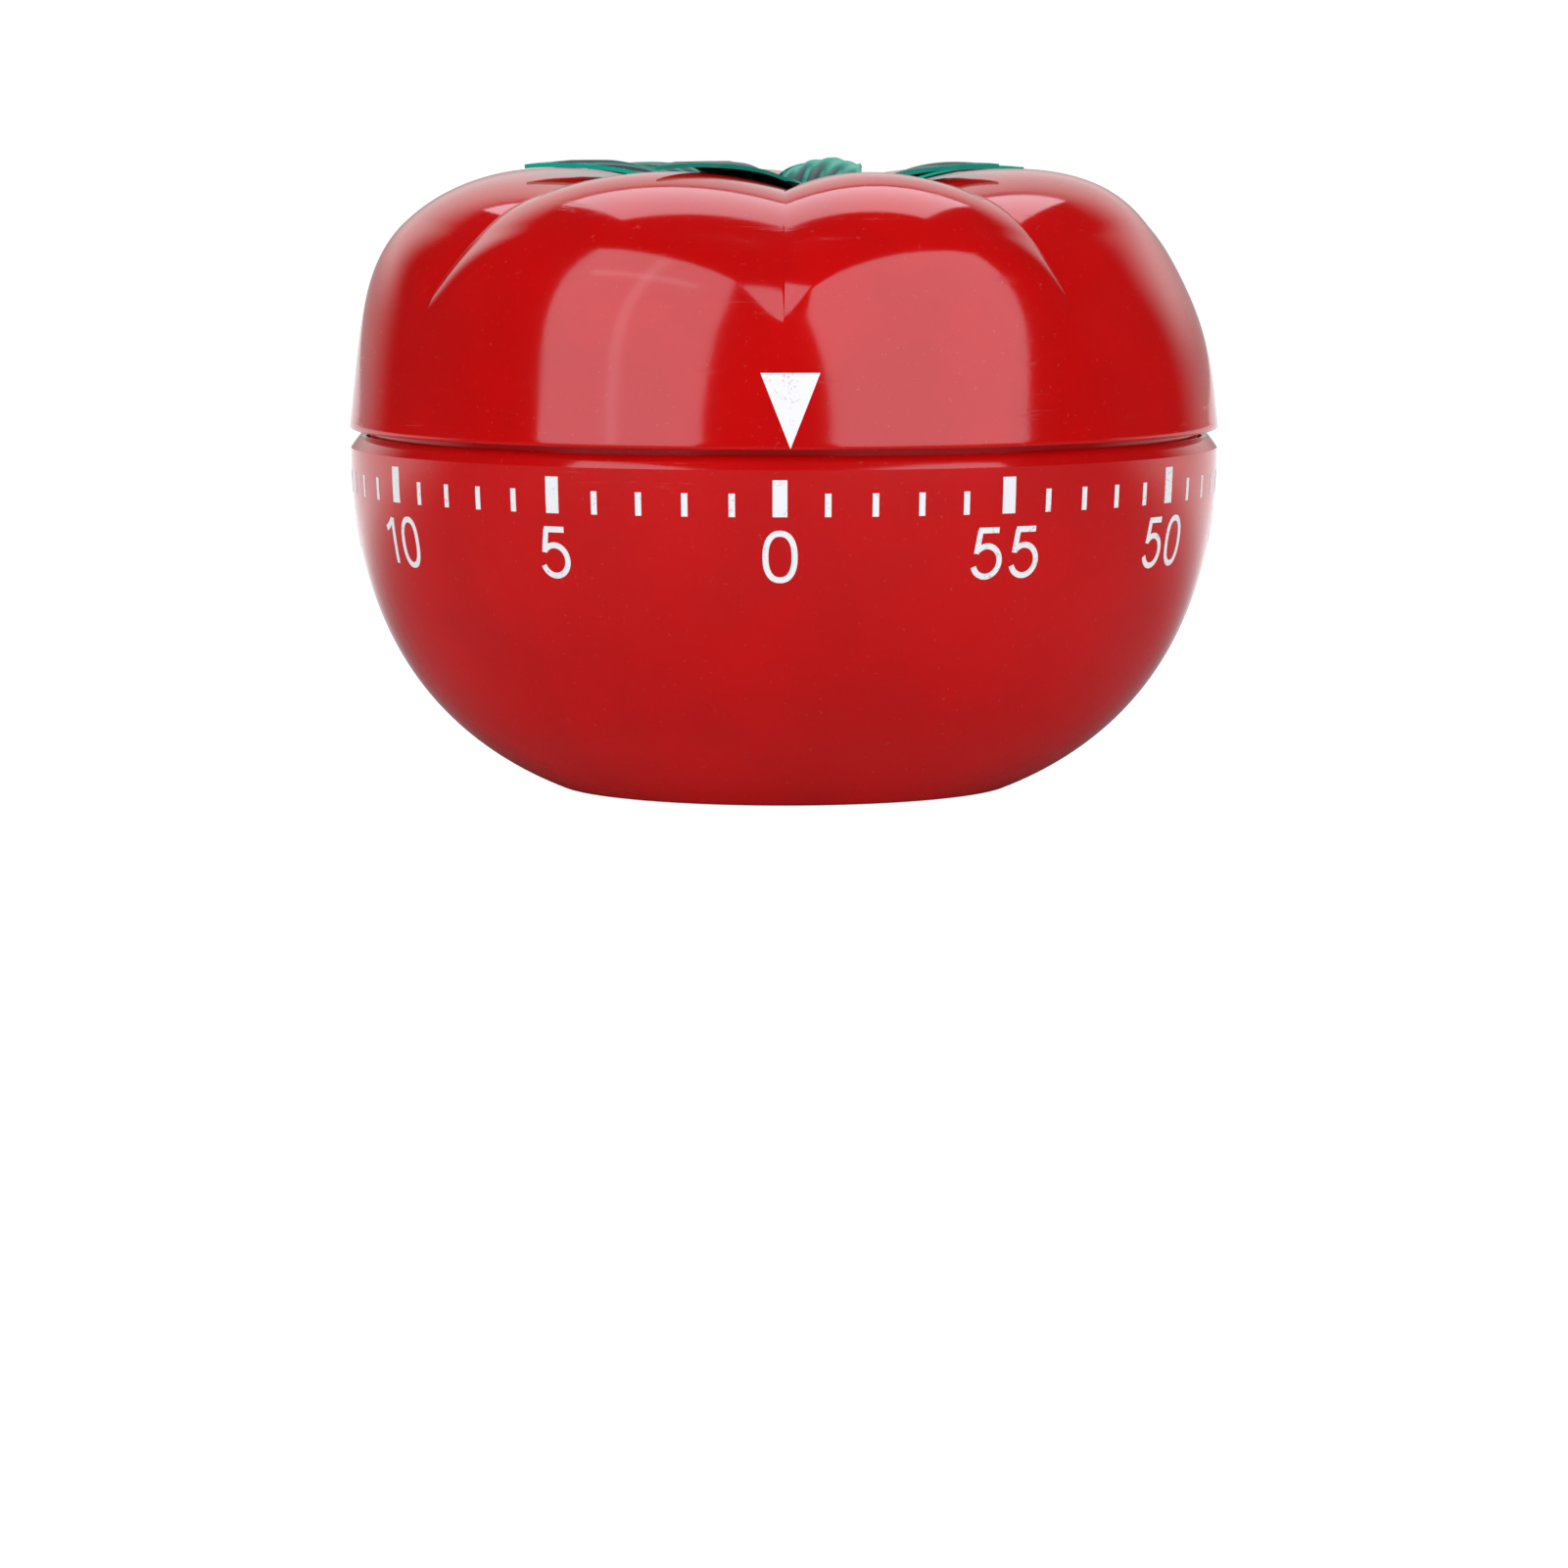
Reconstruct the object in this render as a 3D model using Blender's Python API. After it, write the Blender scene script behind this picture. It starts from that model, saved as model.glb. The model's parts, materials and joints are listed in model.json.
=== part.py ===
"""A sixty-minute kitchen timer shaped like a tomato, with its clockwork, bell and casing.

Every size is in millimetres and is turned into metres where a mesh is made. +Z is up, the origin is at
the middle of the base, and the zero of the dial faces -Y. Angles are degrees, counterclockwise from +X.
"""

import math

import bmesh
import bpy
from mathutils import Vector

MM = 0.001
WELD = 1e-6  # metres between points that are one

# Clearances
SEAT_GAP = 0.3  # between pieces that rest on each other
RUN_GAP = 0.15  # radial, round a turning piece
PIVOT_GAP = 0.2  # radial, round a pivot in its plate
LEAF_GAP = 0.4  # between the leaves and the shell under them

# Casing
SHELL_RADIUS = 37.45  # upper shell at its lower edge
RIM_STEP = 0.1  # the lower shell is that much smaller at its rim
BASE_RADIUS = 19.6  # flat disc that the timer stands on
LOWER_HEIGHT = 30.3
SEAM_GAP = 0.5  # between the two shells
UPPER_HEIGHT = 22.25  # upper shell, from its lower edge to the top of the lobes
CREST_RADIUS = 20.0  # where the lobes are highest
HOLLOW_RADIUS = 4.4  # floor of the hollow that the stem stands in
HOLLOW_DEPTH = 5.45
LOWER_WALL = 1.8
RIM_WALL = 1.3  # lower shell beside the collar
UPPER_WALL = 1.35
ROOF_WALL = 1.6
RIM_BEVEL = 0.85  # width of the lower shell's bevelled rim
RIM_BEVEL_HEIGHT = 1.1
EDGE_ROUND = 0.2  # upper shell
LEDGE_DEPTH = 3.1  # below the lower shell's rim
COLLAR_WALL = 1.5
COLLAR_CHAMFER = 0.3
COLLAR_RISE = 3.3  # above the lower shell's rim
WELL_RADIUS = 3.65
WELL_LIP = 0.2
WELL_DEPTH = 7.0
WELL_WALL = 1.7
WELL_ROOF = 1.5

# Lobes of the upper shell: the angle where each begins, how far its crest lies inside the round form,
# and how far its shoulder swells out of it
LOBES = (
    (270.0, 0.15, 0.0),
    (311.8, 0.0, -0.9),
    (379.5, 0.2, -0.3),
    (433.2, 0.3, 0.2),
    (492.5, 0.0, 0.65),
    (573.4, 0.1, 0.15),
)
GROOVE_DEPTH = 1.9
CREST_GROOVE = 0.86  # share of that depth on the crest
GROOVE_START = 10.2  # height above the shell's edge where the grooves begin
HOLLOW_GROOVE = 0.42  # share of the depth that is left of them in the hollow
GROOVE_FLARE = 12.0  # how fast the grooves narrow below the crest
CREASE_HALF_ANGLE = 2.5  # degrees

# Calyx: the angle and the radius of each leaf's tip, the angle its root points to, and the valley after it
LEAVES = (
    (326.6, 21.7, 327.5, 348.0),
    (380.8, 22.4, 377.5, 403.0),
    (435.0, 25.8, 436.0, 463.0),
    (495.8, 25.4, 486.0, 525.0),
    (555.3, 22.9, 556.5, 583.0),
    (603.4, 23.8, 615.0, 650.0),
)
LEAF_VALLEY_RADIUS = 8.0
LEAF_THICKNESS = 0.35
LEAF_TAPER = 1.3
HUB_RADIUS = 3.55
HUB_RISE = 2.7  # above the hollow's floor
STEM_RADIUS = 2.35
STEM_RISE = 3.2
STEM_SHANK_RADIUS = 1.7
STEM_SHANK_LENGTH = 2.7
DIMPLE_DEPTH = 0.9
STEM_CHAMFER = 0.25

# Screw under the base
SCREW_HEAD_RADIUS = 2.4
SCREW_HEAD_HEIGHT = 1.7
SCREW_RADIUS = 1.15
SCREW_LENGTH = 7.2
CROSS_LENGTH = 2.8
CROSS_WIDTH = 0.6
CROSS_DEPTH = 1.0

# Movement frame
BELL_RADIUS = 25.9
BELL_STEEL = 0.6
BELL_RIM_HEIGHT = 5.4
POST_RADIUS = 4.0
POST_HEIGHT = 5.2
POST_NECK = 2.5  # in the lower plate
PLATE_RADIUS = 26.0
PLATE_STEEL = 1.0
PLATE_SPACE = 11.0  # clear height between the plates
PILLAR_ANGLES = (60.0, 200.0, 320.0)
PILLAR_CIRCLE = 23.3
PILLAR_RADIUS = 1.6
STUB_RADIUS = 0.9
NUT_RADIUS = 2.2
NUT_HEIGHT = 1.4
EAR_ANGLES = (0.0, 120.0, 240.0)
EAR_GAP = 1.6  # between the bell and the supports
EAR_BORDER = 2.4  # round a support's middle
EAR_HALF_ANGLE = 4.5
SUPPORT_RADIUS = 1.8

# Wheel train: each wheel turns the next pinion six times as fast
WHEEL_TEETH = 36
PINION_LEAVES = 6
GREAT_MODULE = 0.8
SECOND_MODULE = 0.5333
THIRD_MODULE = 0.4667
ADDENDUM = 0.8  # of a wheel, in modules
LEAF_ADDENDUM = 0.45  # of a pinion
ROOT_CLEARANCE = 0.15
WHEEL_TOOTH_SHARE = 0.42  # of the pitch
LEAF_SHARE = 0.3
SECOND_DIRECTION = 150.0  # from the great wheel
THIRD_DIRECTION = 60.0  # from the second wheel
ESCAPE_DIRECTION = 0.0  # from the third wheel
ESCAPE_TEETH = 30
ESCAPE_RADIUS = 5.2
WHEEL_STEEL = 0.8
THIN_STEEL = 0.6  # escape wheel, lever and roller
PAWL_STEEL = 0.7  # ratchet wheel, click and third wheel
PINION_OVERHANG = 0.4  # of a pinion below its wheel
PIVOT_RADIUS = 0.45
SECOND_ARBOR = 1.0
THIRD_ARBOR = 0.7
ESCAPE_ARBOR = 0.55

# Heights of the train, above the lower plate
SPRING_LIFT = 0.7
SPRING_HEIGHT = 3.8
ESCAPE_LIFT = 2.7
BALANCE_LIFT = 5.4
SECOND_LIFT = 5.0
THIRD_LIFT = 6.9
RATCHET_LIFT = 7.6
GREAT_LIFT = 8.7

# Main arbor and what it carries
ARBOR_RADIUS = 2.2
ARBOR_NECK = 2.0
ARBOR_TOP = 1.9
ARBOR_FLAT = 1.2  # from the axis to the flat of the D
ARBOR_TIP_DEPTH = 3.2  # below the hollow's floor
FOOT_PIVOT = 1.0
KNOB_BORE_GAP = 2.1  # from the stop arm to the knob's boss
KNOB_BOSS_RADIUS = 4.6
RATCHET_TEETH = 12
RATCHET_RADIUS = 5.5
RATCHET_STEP = 0.9
CLICK_CIRCLE = 9.2
CLICK_PIN = 0.5
CAM_RADIUS = 6.0
CAM_NOTCH = 1.5
CAM_LIFT = 0.5  # above the upper plate
STOP_ANGLE = 99.0
STOP_CIRCLE = 19.5
STOP_RADIUS = 0.8
STOP_ARM_HALF_WIDTH = 0.8
STOP_ARM_LIFT = 2.7
STOP_TRAVEL = 350.0

# Springs
MAINSPRING_STRIP = 0.35
MAINSPRING_INNER = 2.95
MAINSPRING_OUTER = 11.2
MAINSPRING_TURNS = 4
SPRING_POST_RADIUS = 0.9
HAIRSPRING_STRIP = 0.2
HAIRSPRING_INNER = 1.1
HAIRSPRING_OUTER = 4.3
HAIRSPRING_TURNS = 3
HAIRSPRING_HEIGHT = 0.6
STUD_RADIUS = 0.5
PIN_END = 0.4  # of a pin beyond the piece on it
PIN_ROOT = 0.2  # of a pin below its plate

# Escapement
PALLET_PLACE = (7.25, 15.8)
BALANCE_PLACE = (13.5, 10.5)
BALANCE_RADIUS = 6.0
BALANCE_RIM = 1.3
ROLLER_RADIUS = 1.2
SLIM_ARBOR = 0.5
PALLET_CLEARANCE = 0.55

# Bell hammer and its release
HAMMER_PLACE = (0.0, -18.0)
HAMMER_ARBOR = 0.7
HAMMER_HEAD_ANGLE = 300.0
HAMMER_HEAD_RADIUS = 1.8
HAMMER_GAP = 0.4  # between the head and the bell at rest
HAMMER_STEEL = 1.2
RELEASE_PLACE = (11.6, -7.2)
RELEASE_PIN = 0.6

# What follows from the sizes above
LOWER_RADIUS = SHELL_RADIUS - RIM_STEP
UPPER_EDGE = LOWER_HEIGHT + SEAM_GAP
CREST_HEIGHT = UPPER_EDGE + UPPER_HEIGHT
HOLLOW_HEIGHT = CREST_HEIGHT - HOLLOW_DEPTH
GROOVE_FLOOR = UPPER_EDGE + GROOVE_START
LOBE_ENDS = [lobe[0] for lobe in LOBES[1:]] + [LOBES[0][0] + 360]
ARBOR_TIP_HEIGHT = HOLLOW_HEIGHT - ARBOR_TIP_DEPTH
EAR_CIRCLE = BELL_RADIUS + EAR_GAP + SUPPORT_RADIUS
EAR_REACH = EAR_CIRCLE + EAR_BORDER
BELL_FLOOR = WELL_DEPTH + WELL_ROOF + SEAT_GAP
POST_FOOT = BELL_FLOOR + BELL_STEEL + SEAT_GAP
POST_TOP = POST_FOOT + POST_HEIGHT
LOWER_PLATE = POST_TOP + SEAT_GAP
TRAIN_FLOOR = LOWER_PLATE + PLATE_STEEL
UPPER_PLATE = TRAIN_FLOOR + PLATE_SPACE
DECK = UPPER_PLATE + PLATE_STEEL
STOP_ARM_FLOOR = DECK + STOP_ARM_LIFT
KNOB_BORE_START = STOP_ARM_FLOOR + PLATE_STEEL + KNOB_BORE_GAP
SHOULDER_LOW = TRAIN_FLOOR + SEAT_GAP
SHOULDER_HIGH = UPPER_PLATE - SEAT_GAP
PIVOT_LOW = LOWER_PLATE + 0.1
PIVOT_HIGH = DECK - 0.1

ROUND = 48  # sides of the casing
DISC = 20  # sides of small discs and of holes round the main arbor
PIN = 10  # sides of pins and pivots


def polar(radius, angle):
    turn = math.radians(angle)
    return (radius * math.cos(turn), radius * math.sin(turn))


def shifted(points, place):
    return [(x + place[0], y + place[1]) for x, y in points]


def circle(radius, sides=PIN, place=(0.0, 0.0), start=0.0):
    return shifted([polar(radius, start + 360 * i / sides) for i in range(sides)], place)


def bezier(start, start_handle, end_handle, end, steps):
    """Points of a cubic curve in (radius, height), with both of its ends."""
    points = []
    for i in range(steps + 1):
        t = i / steps
        weights = ((1 - t) ** 3, 3 * t * (1 - t) ** 2, 3 * t * t * (1 - t), t**3)
        corners = (start, start_handle, end_handle, end)
        points.append(tuple(sum(w * c[k] for w, c in zip(weights, corners)) for k in (0, 1)))
    return points


def inside(points, wall):
    """The line at a wall's thickness inside a line that runs upwards, outer side at larger radii."""
    moved = []
    for i, (radius, height) in enumerate(points):
        before, after = points[max(i - 1, 0)], points[min(i + 1, len(points) - 1)]
        along = Vector((after[0] - before[0], after[1] - before[1])).normalized()
        moved.append((radius - wall * along.y, height + wall * along.x))
    return moved


def height_at(points, radius):
    """Height of a line of (radius, height) points at a radius."""
    for (r0, z0), (r1, z1) in zip(points, points[1:]):
        if min(r0, r1) <= radius <= max(r0, r1) and r0 != r1:
            return z0 + (z1 - z0) * (radius - r0) / (r1 - r0)
    return min(points, key=lambda p: abs(p[0] - radius))[1]


# Materials


def material(name, colour, roughness, metallic=0.0):
    made = bpy.data.materials.new(name)
    made.use_nodes = True
    shader = made.node_tree.nodes["Principled BSDF"]
    shader.inputs["Base Color"].default_value = (*colour, 1.0)
    shader.inputs["Roughness"].default_value = roughness
    shader.inputs["Metallic"].default_value = metallic
    made.diffuse_color = (*colour, 1.0)
    return made


def red_plastic(name):
    return material(name, (0.52, 0.004, 0.004), 0.12)


def dark_red_plastic(name):
    return material(name, (0.27, 0.002, 0.002), 0.15)


def leaf_plastic(name):
    return material(name, (0.012, 0.045, 0.04), 0.35)


def stem_plastic(name):
    return material(name, (0.012, 0.012, 0.012), 0.4)


def zinc_steel(name):
    return material(name, (0.62, 0.6, 0.55), 0.3, 1.0)


def bell_steel(name):
    return material(name, (0.5, 0.51, 0.53), 0.2, 1.0)


def frame_steel(name):
    return material(name, (0.42, 0.43, 0.45), 0.35, 1.0)


def brass(name):
    return material(name, (0.68, 0.47, 0.17), 0.3, 1.0)


def spring_steel(name):
    return material(name, (0.12, 0.14, 0.2), 0.3, 1.0)


# Making solids


def add_object(name, mesh_maker, finish, sharp=35.0):
    """Puts a bmesh in the scene as a named object with its own finish, its origin still at the world's."""
    mesh = bpy.data.meshes.new(name)
    bmesh.ops.recalc_face_normals(mesh_maker, faces=mesh_maker.faces)
    mesh_maker.to_mesh(mesh)
    mesh_maker.free()
    mesh.shade_smooth()
    mesh.set_sharp_from_angle(angle=math.radians(sharp))
    mesh.materials.append(finish(name))
    made = bpy.data.objects.new(name, mesh)
    bpy.context.scene.collection.objects.link(made)
    return made


def turned(name, outline, finish, sides=ROUND, place=(0.0, 0.0), closed=False):
    """A turned piece: an outline of (radius, height), spun once round an upright axis."""
    maker = bmesh.new()
    corners = [maker.verts.new((radius * MM, 0, height * MM)) for radius, height in outline]
    edges = [maker.edges.new(pair) for pair in zip(corners, corners[1:])]
    if closed:
        edges.append(maker.edges.new((corners[-1], corners[0])))
    bmesh.ops.spin(
        maker, geom=corners + edges, cent=(0, 0, 0), axis=(0, 0, 1), angle=math.tau, steps=sides
    )
    bmesh.ops.remove_doubles(maker, verts=maker.verts, dist=WELD)
    return place_at(add_object(name, maker, finish), place)


def place_at(obj, place):
    obj.location = (place[0] * MM, place[1] * MM, 0)
    return obj


def ring(maker, outline, height):
    """A closed loop of new points at a height, and its edges."""
    corners = [maker.verts.new((x * MM, y * MM, height * MM)) for x, y in outline]
    for pair in zip(corners, corners[1:] + corners[:1]):
        maker.edges.new(pair)
    return corners


def loop_edges(maker, corners):
    return [maker.edges.get(pair) for pair in zip(corners, corners[1:] + corners[:1])]


def fill_between(maker, *loops):
    """Fills the flat area between a loop and the loops inside it."""
    edges = [edge for corners in loops for edge in loop_edges(maker, corners)]
    bmesh.ops.triangle_fill(maker, edges=edges, use_beauty=True, use_dissolve=False)


def wall_between(maker, low, high):
    for i in range(len(low)):
        after = (i + 1) % len(low)
        maker.faces.new((low[i], low[after], high[after], high[i]))


def stacked(name, layers, finish, holes=(), place=(0.0, 0.0)):
    """A flat or stepped piece: layers of (outline, bottom, top) from the lowest up, with holes through all.

    Each outline lies wholly inside or wholly outside the next one.
    """
    maker = bmesh.new()
    rings = [(ring(maker, line, low), ring(maker, line, high)) for line, low, high in layers]
    floor, roof = layers[0][1], layers[-1][2]
    bores = [(ring(maker, hole, floor), ring(maker, hole, roof)) for hole in holes]
    for low, high in rings + bores:
        wall_between(maker, low, high)
    for (_, top), (bottom, _) in zip(rings, rings[1:]):
        fill_between(maker, top, bottom)
    fill_between(maker, rings[0][0], *(low for low, _ in bores))
    fill_between(maker, rings[-1][1], *(high for _, high in bores))
    return place_at(add_object(name, maker, finish), place)


def columns(name, loops, finish, sharp=35.0):
    """A closed body from closed loops of 3-D points, each joined to the next and the last to the first."""
    maker = bmesh.new()
    rows = [[maker.verts.new(Vector(point) * MM) for point in loop] for loop in loops]
    for row, after in zip(rows, rows[1:] + rows[:1]):
        wall_between(maker, row, after)
    return add_object(name, maker, finish, sharp)


def cutter(name, layers):
    """A helper solid for a Boolean, which is no piece of the timer."""
    made = stacked(name, layers, frame_steel)
    made.hide_render = True
    made.display_type = "WIRE"
    return made


def boolean(obj, other, operation):
    modifier = obj.modifiers.new(operation.lower(), "BOOLEAN")
    modifier.operation = operation
    modifier.object = other


# Outlines of flat pieces


def gear(teeth, module, addendum, dedendum, share, phase):
    """Outline of a toothed wheel, a tooth's middle at the phase. share is a tooth's part of the pitch."""
    pitch_radius = teeth * module / 2
    root, tip = pitch_radius - dedendum, pitch_radius + addendum
    half = 180 / teeth * share
    points = []
    for tooth in range(teeth):
        middle = phase + 360 * tooth / teeth
        points.append(polar(root, middle - half * 1.25))
        points.append(polar(tip, middle - half * 0.4))
        points.append(polar(tip, middle + half * 0.4))
        points.append(polar(root, middle + half * 1.25))
    return points


def wheel_outline(module, phase):
    dedendum = LEAF_ADDENDUM * module + ROOT_CLEARANCE
    return gear(WHEEL_TEETH, module, ADDENDUM * module, dedendum, WHEEL_TOOTH_SHARE, phase)


def pinion_outline(module, phase):
    dedendum = ADDENDUM * module + ROOT_CLEARANCE
    return gear(PINION_LEAVES, module, LEAF_ADDENDUM * module, dedendum, LEAF_SHARE, phase)


def saw_outline(teeth, radius, step, phase):
    """Outline of a ratchet or escape wheel: a steep front and a long back to each tooth."""
    points = []
    for tooth in range(teeth):
        start = phase + 360 * tooth / teeth
        points.append(polar(radius - step, start))
        points.append(polar(radius, start + 18 / teeth))
        points.append(polar(radius, start + 50 / teeth))
    return points


def window(inner, outer, start, end, steps=3):
    """A kidney-shaped opening of a wheel."""
    angles = [start + (end - start) * i / steps for i in range(steps + 1)]
    return [polar(outer, a) for a in angles] + [polar(inner, a) for a in reversed(angles)]


def windows(inner, outer, spokes, spoke_angle, phase=0.0):
    gap = 360 / spokes
    return [
        window(inner, outer, phase + i * gap + spoke_angle / 2, phase + (i + 1) * gap - spoke_angle / 2)
        for i in range(spokes)
    ]


def spiral_outline(inner, outer, turns, strip, sides, start=0.0):
    """Outline of a coiled strip, out along its outer side and back along its inner side."""
    count = turns * sides
    middle = [inner + strip / 2 + (outer - inner - strip) * i / count for i in range(count + 1)]
    out = [polar(middle[i] + strip / 2, start + 360 * i / sides) for i in range(count + 1)]
    back = [polar(middle[i] - strip / 2, start + 360 * i / sides) for i in range(count, -1, -1)]
    return out + back


def d_radius(radius, flat, angle):
    """Radius of a D-shaped section at an angle. Its flat faces +X."""
    across = math.cos(math.radians(angle))
    return min(radius, flat / across) if across > 0 else radius


# Casing


def lower_form(steps=10):
    """Outer side of the lower shell from the edge of the base up to the rim."""
    slope = math.radians(21.9)
    reach = 11.0
    base_handle = (BASE_RADIUS + reach * math.cos(slope), reach * math.sin(slope))
    rim = (LOWER_RADIUS, LOWER_HEIGHT - RIM_BEVEL_HEIGHT)
    rim_handle = (LOWER_RADIUS, LOWER_HEIGHT * 0.43)
    return bezier((BASE_RADIUS, 0.0), base_handle, rim_handle, rim, steps)


def collar_outer():
    return LOWER_RADIUS - RIM_WALL - SEAT_GAP


def make_lower_shell():
    outer = lower_form()
    ledge = LOWER_HEIGHT - LEDGE_DEPTH
    inner = [p for p in inside(outer, LOWER_WALL) if LOWER_WALL + 0.5 < p[1] < ledge - 0.5]
    ledge_radius = collar_outer() - COLLAR_WALL
    rim_inside = LOWER_RADIUS - RIM_WALL
    outline = [
        (BASE_RADIUS, LOWER_WALL),
        *inner,
        (min(ledge_radius, inner[-1][0]), ledge),
        (rim_inside, ledge),
        (rim_inside, LOWER_HEIGHT),
        (LOWER_RADIUS - RIM_BEVEL, LOWER_HEIGHT),
        (LOWER_RADIUS - RIM_BEVEL * 0.35, LOWER_HEIGHT - RIM_BEVEL_HEIGHT * 0.4),
        *reversed(outer),
        (WELL_RADIUS + WELL_LIP, 0.0),
        (WELL_RADIUS, WELL_LIP),
        (WELL_RADIUS, WELL_DEPTH),
        (SCREW_RADIUS + SEAT_GAP, WELL_DEPTH),
        (SCREW_RADIUS + SEAT_GAP, WELL_DEPTH + WELL_ROOF),
        (WELL_RADIUS + WELL_WALL, WELL_DEPTH + WELL_ROOF),
        (WELL_RADIUS + WELL_WALL, LOWER_WALL),
    ]
    shell = turned("lower_shell", outline, red_plastic, closed=True)
    middle = inside(outer, LOWER_WALL / 2)
    for i, angle in enumerate(EAR_ANGLES, start=1):
        centre = polar(EAR_CIRCLE, angle)
        post = circle(SUPPORT_RADIUS, 10, centre, angle + 18)
        peg = circle(STUB_RADIUS, 10, centre, angle + 18)
        layers = [(post, 0.0, POST_TOP), (peg, POST_TOP, TRAIN_FLOOR + SEAT_GAP)]
        support = cutter(f"support_{i}", layers)
        for vertex in support.data.vertices:
            if vertex.co.z < WELD:
                vertex.co.z = height_at(middle, vertex.co.xy.length / MM) * MM
        boolean(shell, support, "UNION")


def make_collar_band():
    outer = collar_outer()
    low, high = LOWER_HEIGHT - LEDGE_DEPTH + SEAT_GAP, LOWER_HEIGHT + COLLAR_RISE
    outline = [
        (outer - COLLAR_WALL, low),
        (outer, low),
        (outer, high - COLLAR_CHAMFER),
        (outer - COLLAR_CHAMFER, high),
        (outer - COLLAR_WALL, high),
    ]
    turned("collar_band", outline, dark_red_plastic, closed=True)


def crest_line(outer_steps=10, hollow_steps=5):
    """The round form over the lobes' crests, from the lower edge up and over into the hollow."""
    rise = CREST_HEIGHT - UPPER_EDGE
    outside = bezier(
        (SHELL_RADIUS, UPPER_EDGE + EDGE_ROUND),
        (SHELL_RADIUS - 0.85, UPPER_EDGE + 0.31 * rise),
        (SHELL_RADIUS - 1.0, CREST_HEIGHT),
        (CREST_RADIUS, CREST_HEIGHT),
        outer_steps,
    )
    hollow = bezier(
        (CREST_RADIUS, CREST_HEIGHT),
        (HOLLOW_RADIUS + 3.6, CREST_HEIGHT),
        (HOLLOW_RADIUS + 3.6, HOLLOW_HEIGHT),
        (HOLLOW_RADIUS, HOLLOW_HEIGHT),
        hollow_steps,
    )
    return outside + hollow[1:]


def groove_share(radius, height):
    """How much of the grooves' depth there is at a point of the crest line, from 0 to 1."""
    if radius < CREST_RADIUS:
        inwards = (radius - HOLLOW_RADIUS) / (CREST_RADIUS - HOLLOW_RADIUS)
        return HOLLOW_GROOVE + (CREST_GROOVE - HOLLOW_GROOVE) * inwards
    rise = (height - GROOVE_FLOOR) / (CREST_HEIGHT - GROOVE_FLOOR)
    if rise <= 0:
        return 0.0
    return math.sin(min(rise * 1.3, 1.0) ** 1.3 * math.pi / 2) * (1.0 - (1.0 - CREST_GROOVE) * rise)


def lobe_depth(angle, radius, height):
    """How far the shell lies inside the round form at an angle and at a point of the crest line."""
    turn = LOBES[0][0] + (angle - LOBES[0][0]) % 360
    lobe = next((i for i, end in enumerate(LOBE_ENDS) if turn <= end), 0)
    start, sink, swell = LOBES[lobe]
    across = abs(2 * (turn - start) / (LOBE_ENDS[lobe] - start) - 1)
    share = groove_share(radius, height)
    if radius < CREST_RADIUS:
        return (sink + (GROOVE_DEPTH - sink) * across**2) * share
    sharpness = 2.0 + GROOVE_FLARE * max(1.0 - share / CREST_GROOVE, 0.0) ** 1.1
    rise = (height - UPPER_EDGE) / (CREST_HEIGHT - UPPER_EDGE)
    shoulder = math.sin(math.pi * min(rise, 1.0) ** 1.7) ** 2 * (1 - across**2)
    return (sink + (GROOVE_DEPTH - sink) * across**sharpness) * share - swell * shoulder


def shell_angles(step=8.0):
    """Angles of the upper shell's columns: every groove, its sides, every quarter, and steps between."""
    fixed = {0.0, 90.0, 180.0, 270.0, 360.0}
    for start, _, _ in LOBES:
        fixed |= {(start + side * CREASE_HALF_ANGLE) % 360 for side in (-1, 0, 1)}
    fixed = sorted(fixed)
    angles = []
    for start, end in zip(fixed, fixed[1:]):
        count = math.ceil((end - start) / step)
        angles += [start + (end - start) * i / count for i in range(count)]
    return angles


def roof_line():
    """Inner side of the upper shell, from its lower edge in to the boss."""
    side = SHELL_RADIUS - UPPER_WALL
    crest = CREST_HEIGHT - GROOVE_DEPTH - ROOF_WALL
    hollow_roof = HOLLOW_HEIGHT - ROOF_WALL
    return [
        (side, UPPER_EDGE),
        (side - 0.5, UPPER_EDGE + 6.0),
        *bezier(
            (side - 1.9, UPPER_EDGE + 9.5),
            (side - 3.9, crest - 4.3),
            (side - 9.0, crest - 0.4),
            (CREST_RADIUS - 1.5, crest),
            4,
        ),
        (CREST_RADIUS - 7.0, crest - 0.7),
        (KNOB_BOSS_RADIUS + 2.0, hollow_roof - 0.6),
        (KNOB_BOSS_RADIUS, hollow_roof - 1.6),
        (KNOB_BOSS_RADIUS, KNOB_BORE_START),
    ]


def make_upper_shell():
    crest = crest_line()
    normals = [
        (b[1] - a[1], a[0] - b[0]) for a, b in zip([crest[0], *crest], [*crest[1:], crest[-1]])
    ]
    bore_top = ARBOR_TIP_HEIGHT + SEAT_GAP
    shank_bore = STEM_SHANK_RADIUS + SEAT_GAP
    loops = []
    for angle in shell_angles():
        profile = [(SHELL_RADIUS - EDGE_ROUND, UPPER_EDGE)]
        for (radius, height), (out, up) in zip(crest, normals):
            depth = lobe_depth(angle, radius, height) / math.hypot(out, up)
            profile.append((radius - depth * out, height - depth * up))
        d_bore = d_radius(ARBOR_TOP + RUN_GAP, ARBOR_FLAT + RUN_GAP, angle)
        profile += [(shank_bore, HOLLOW_HEIGHT - 0.1), (shank_bore, bore_top)]
        profile += [(d_bore, bore_top), (d_bore, KNOB_BORE_START)]
        profile += reversed(roof_line())
        loops.append([(*polar(radius, angle), height) for radius, height in profile])
    columns("upper_shell", loops, red_plastic, sharp=50.0)


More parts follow.
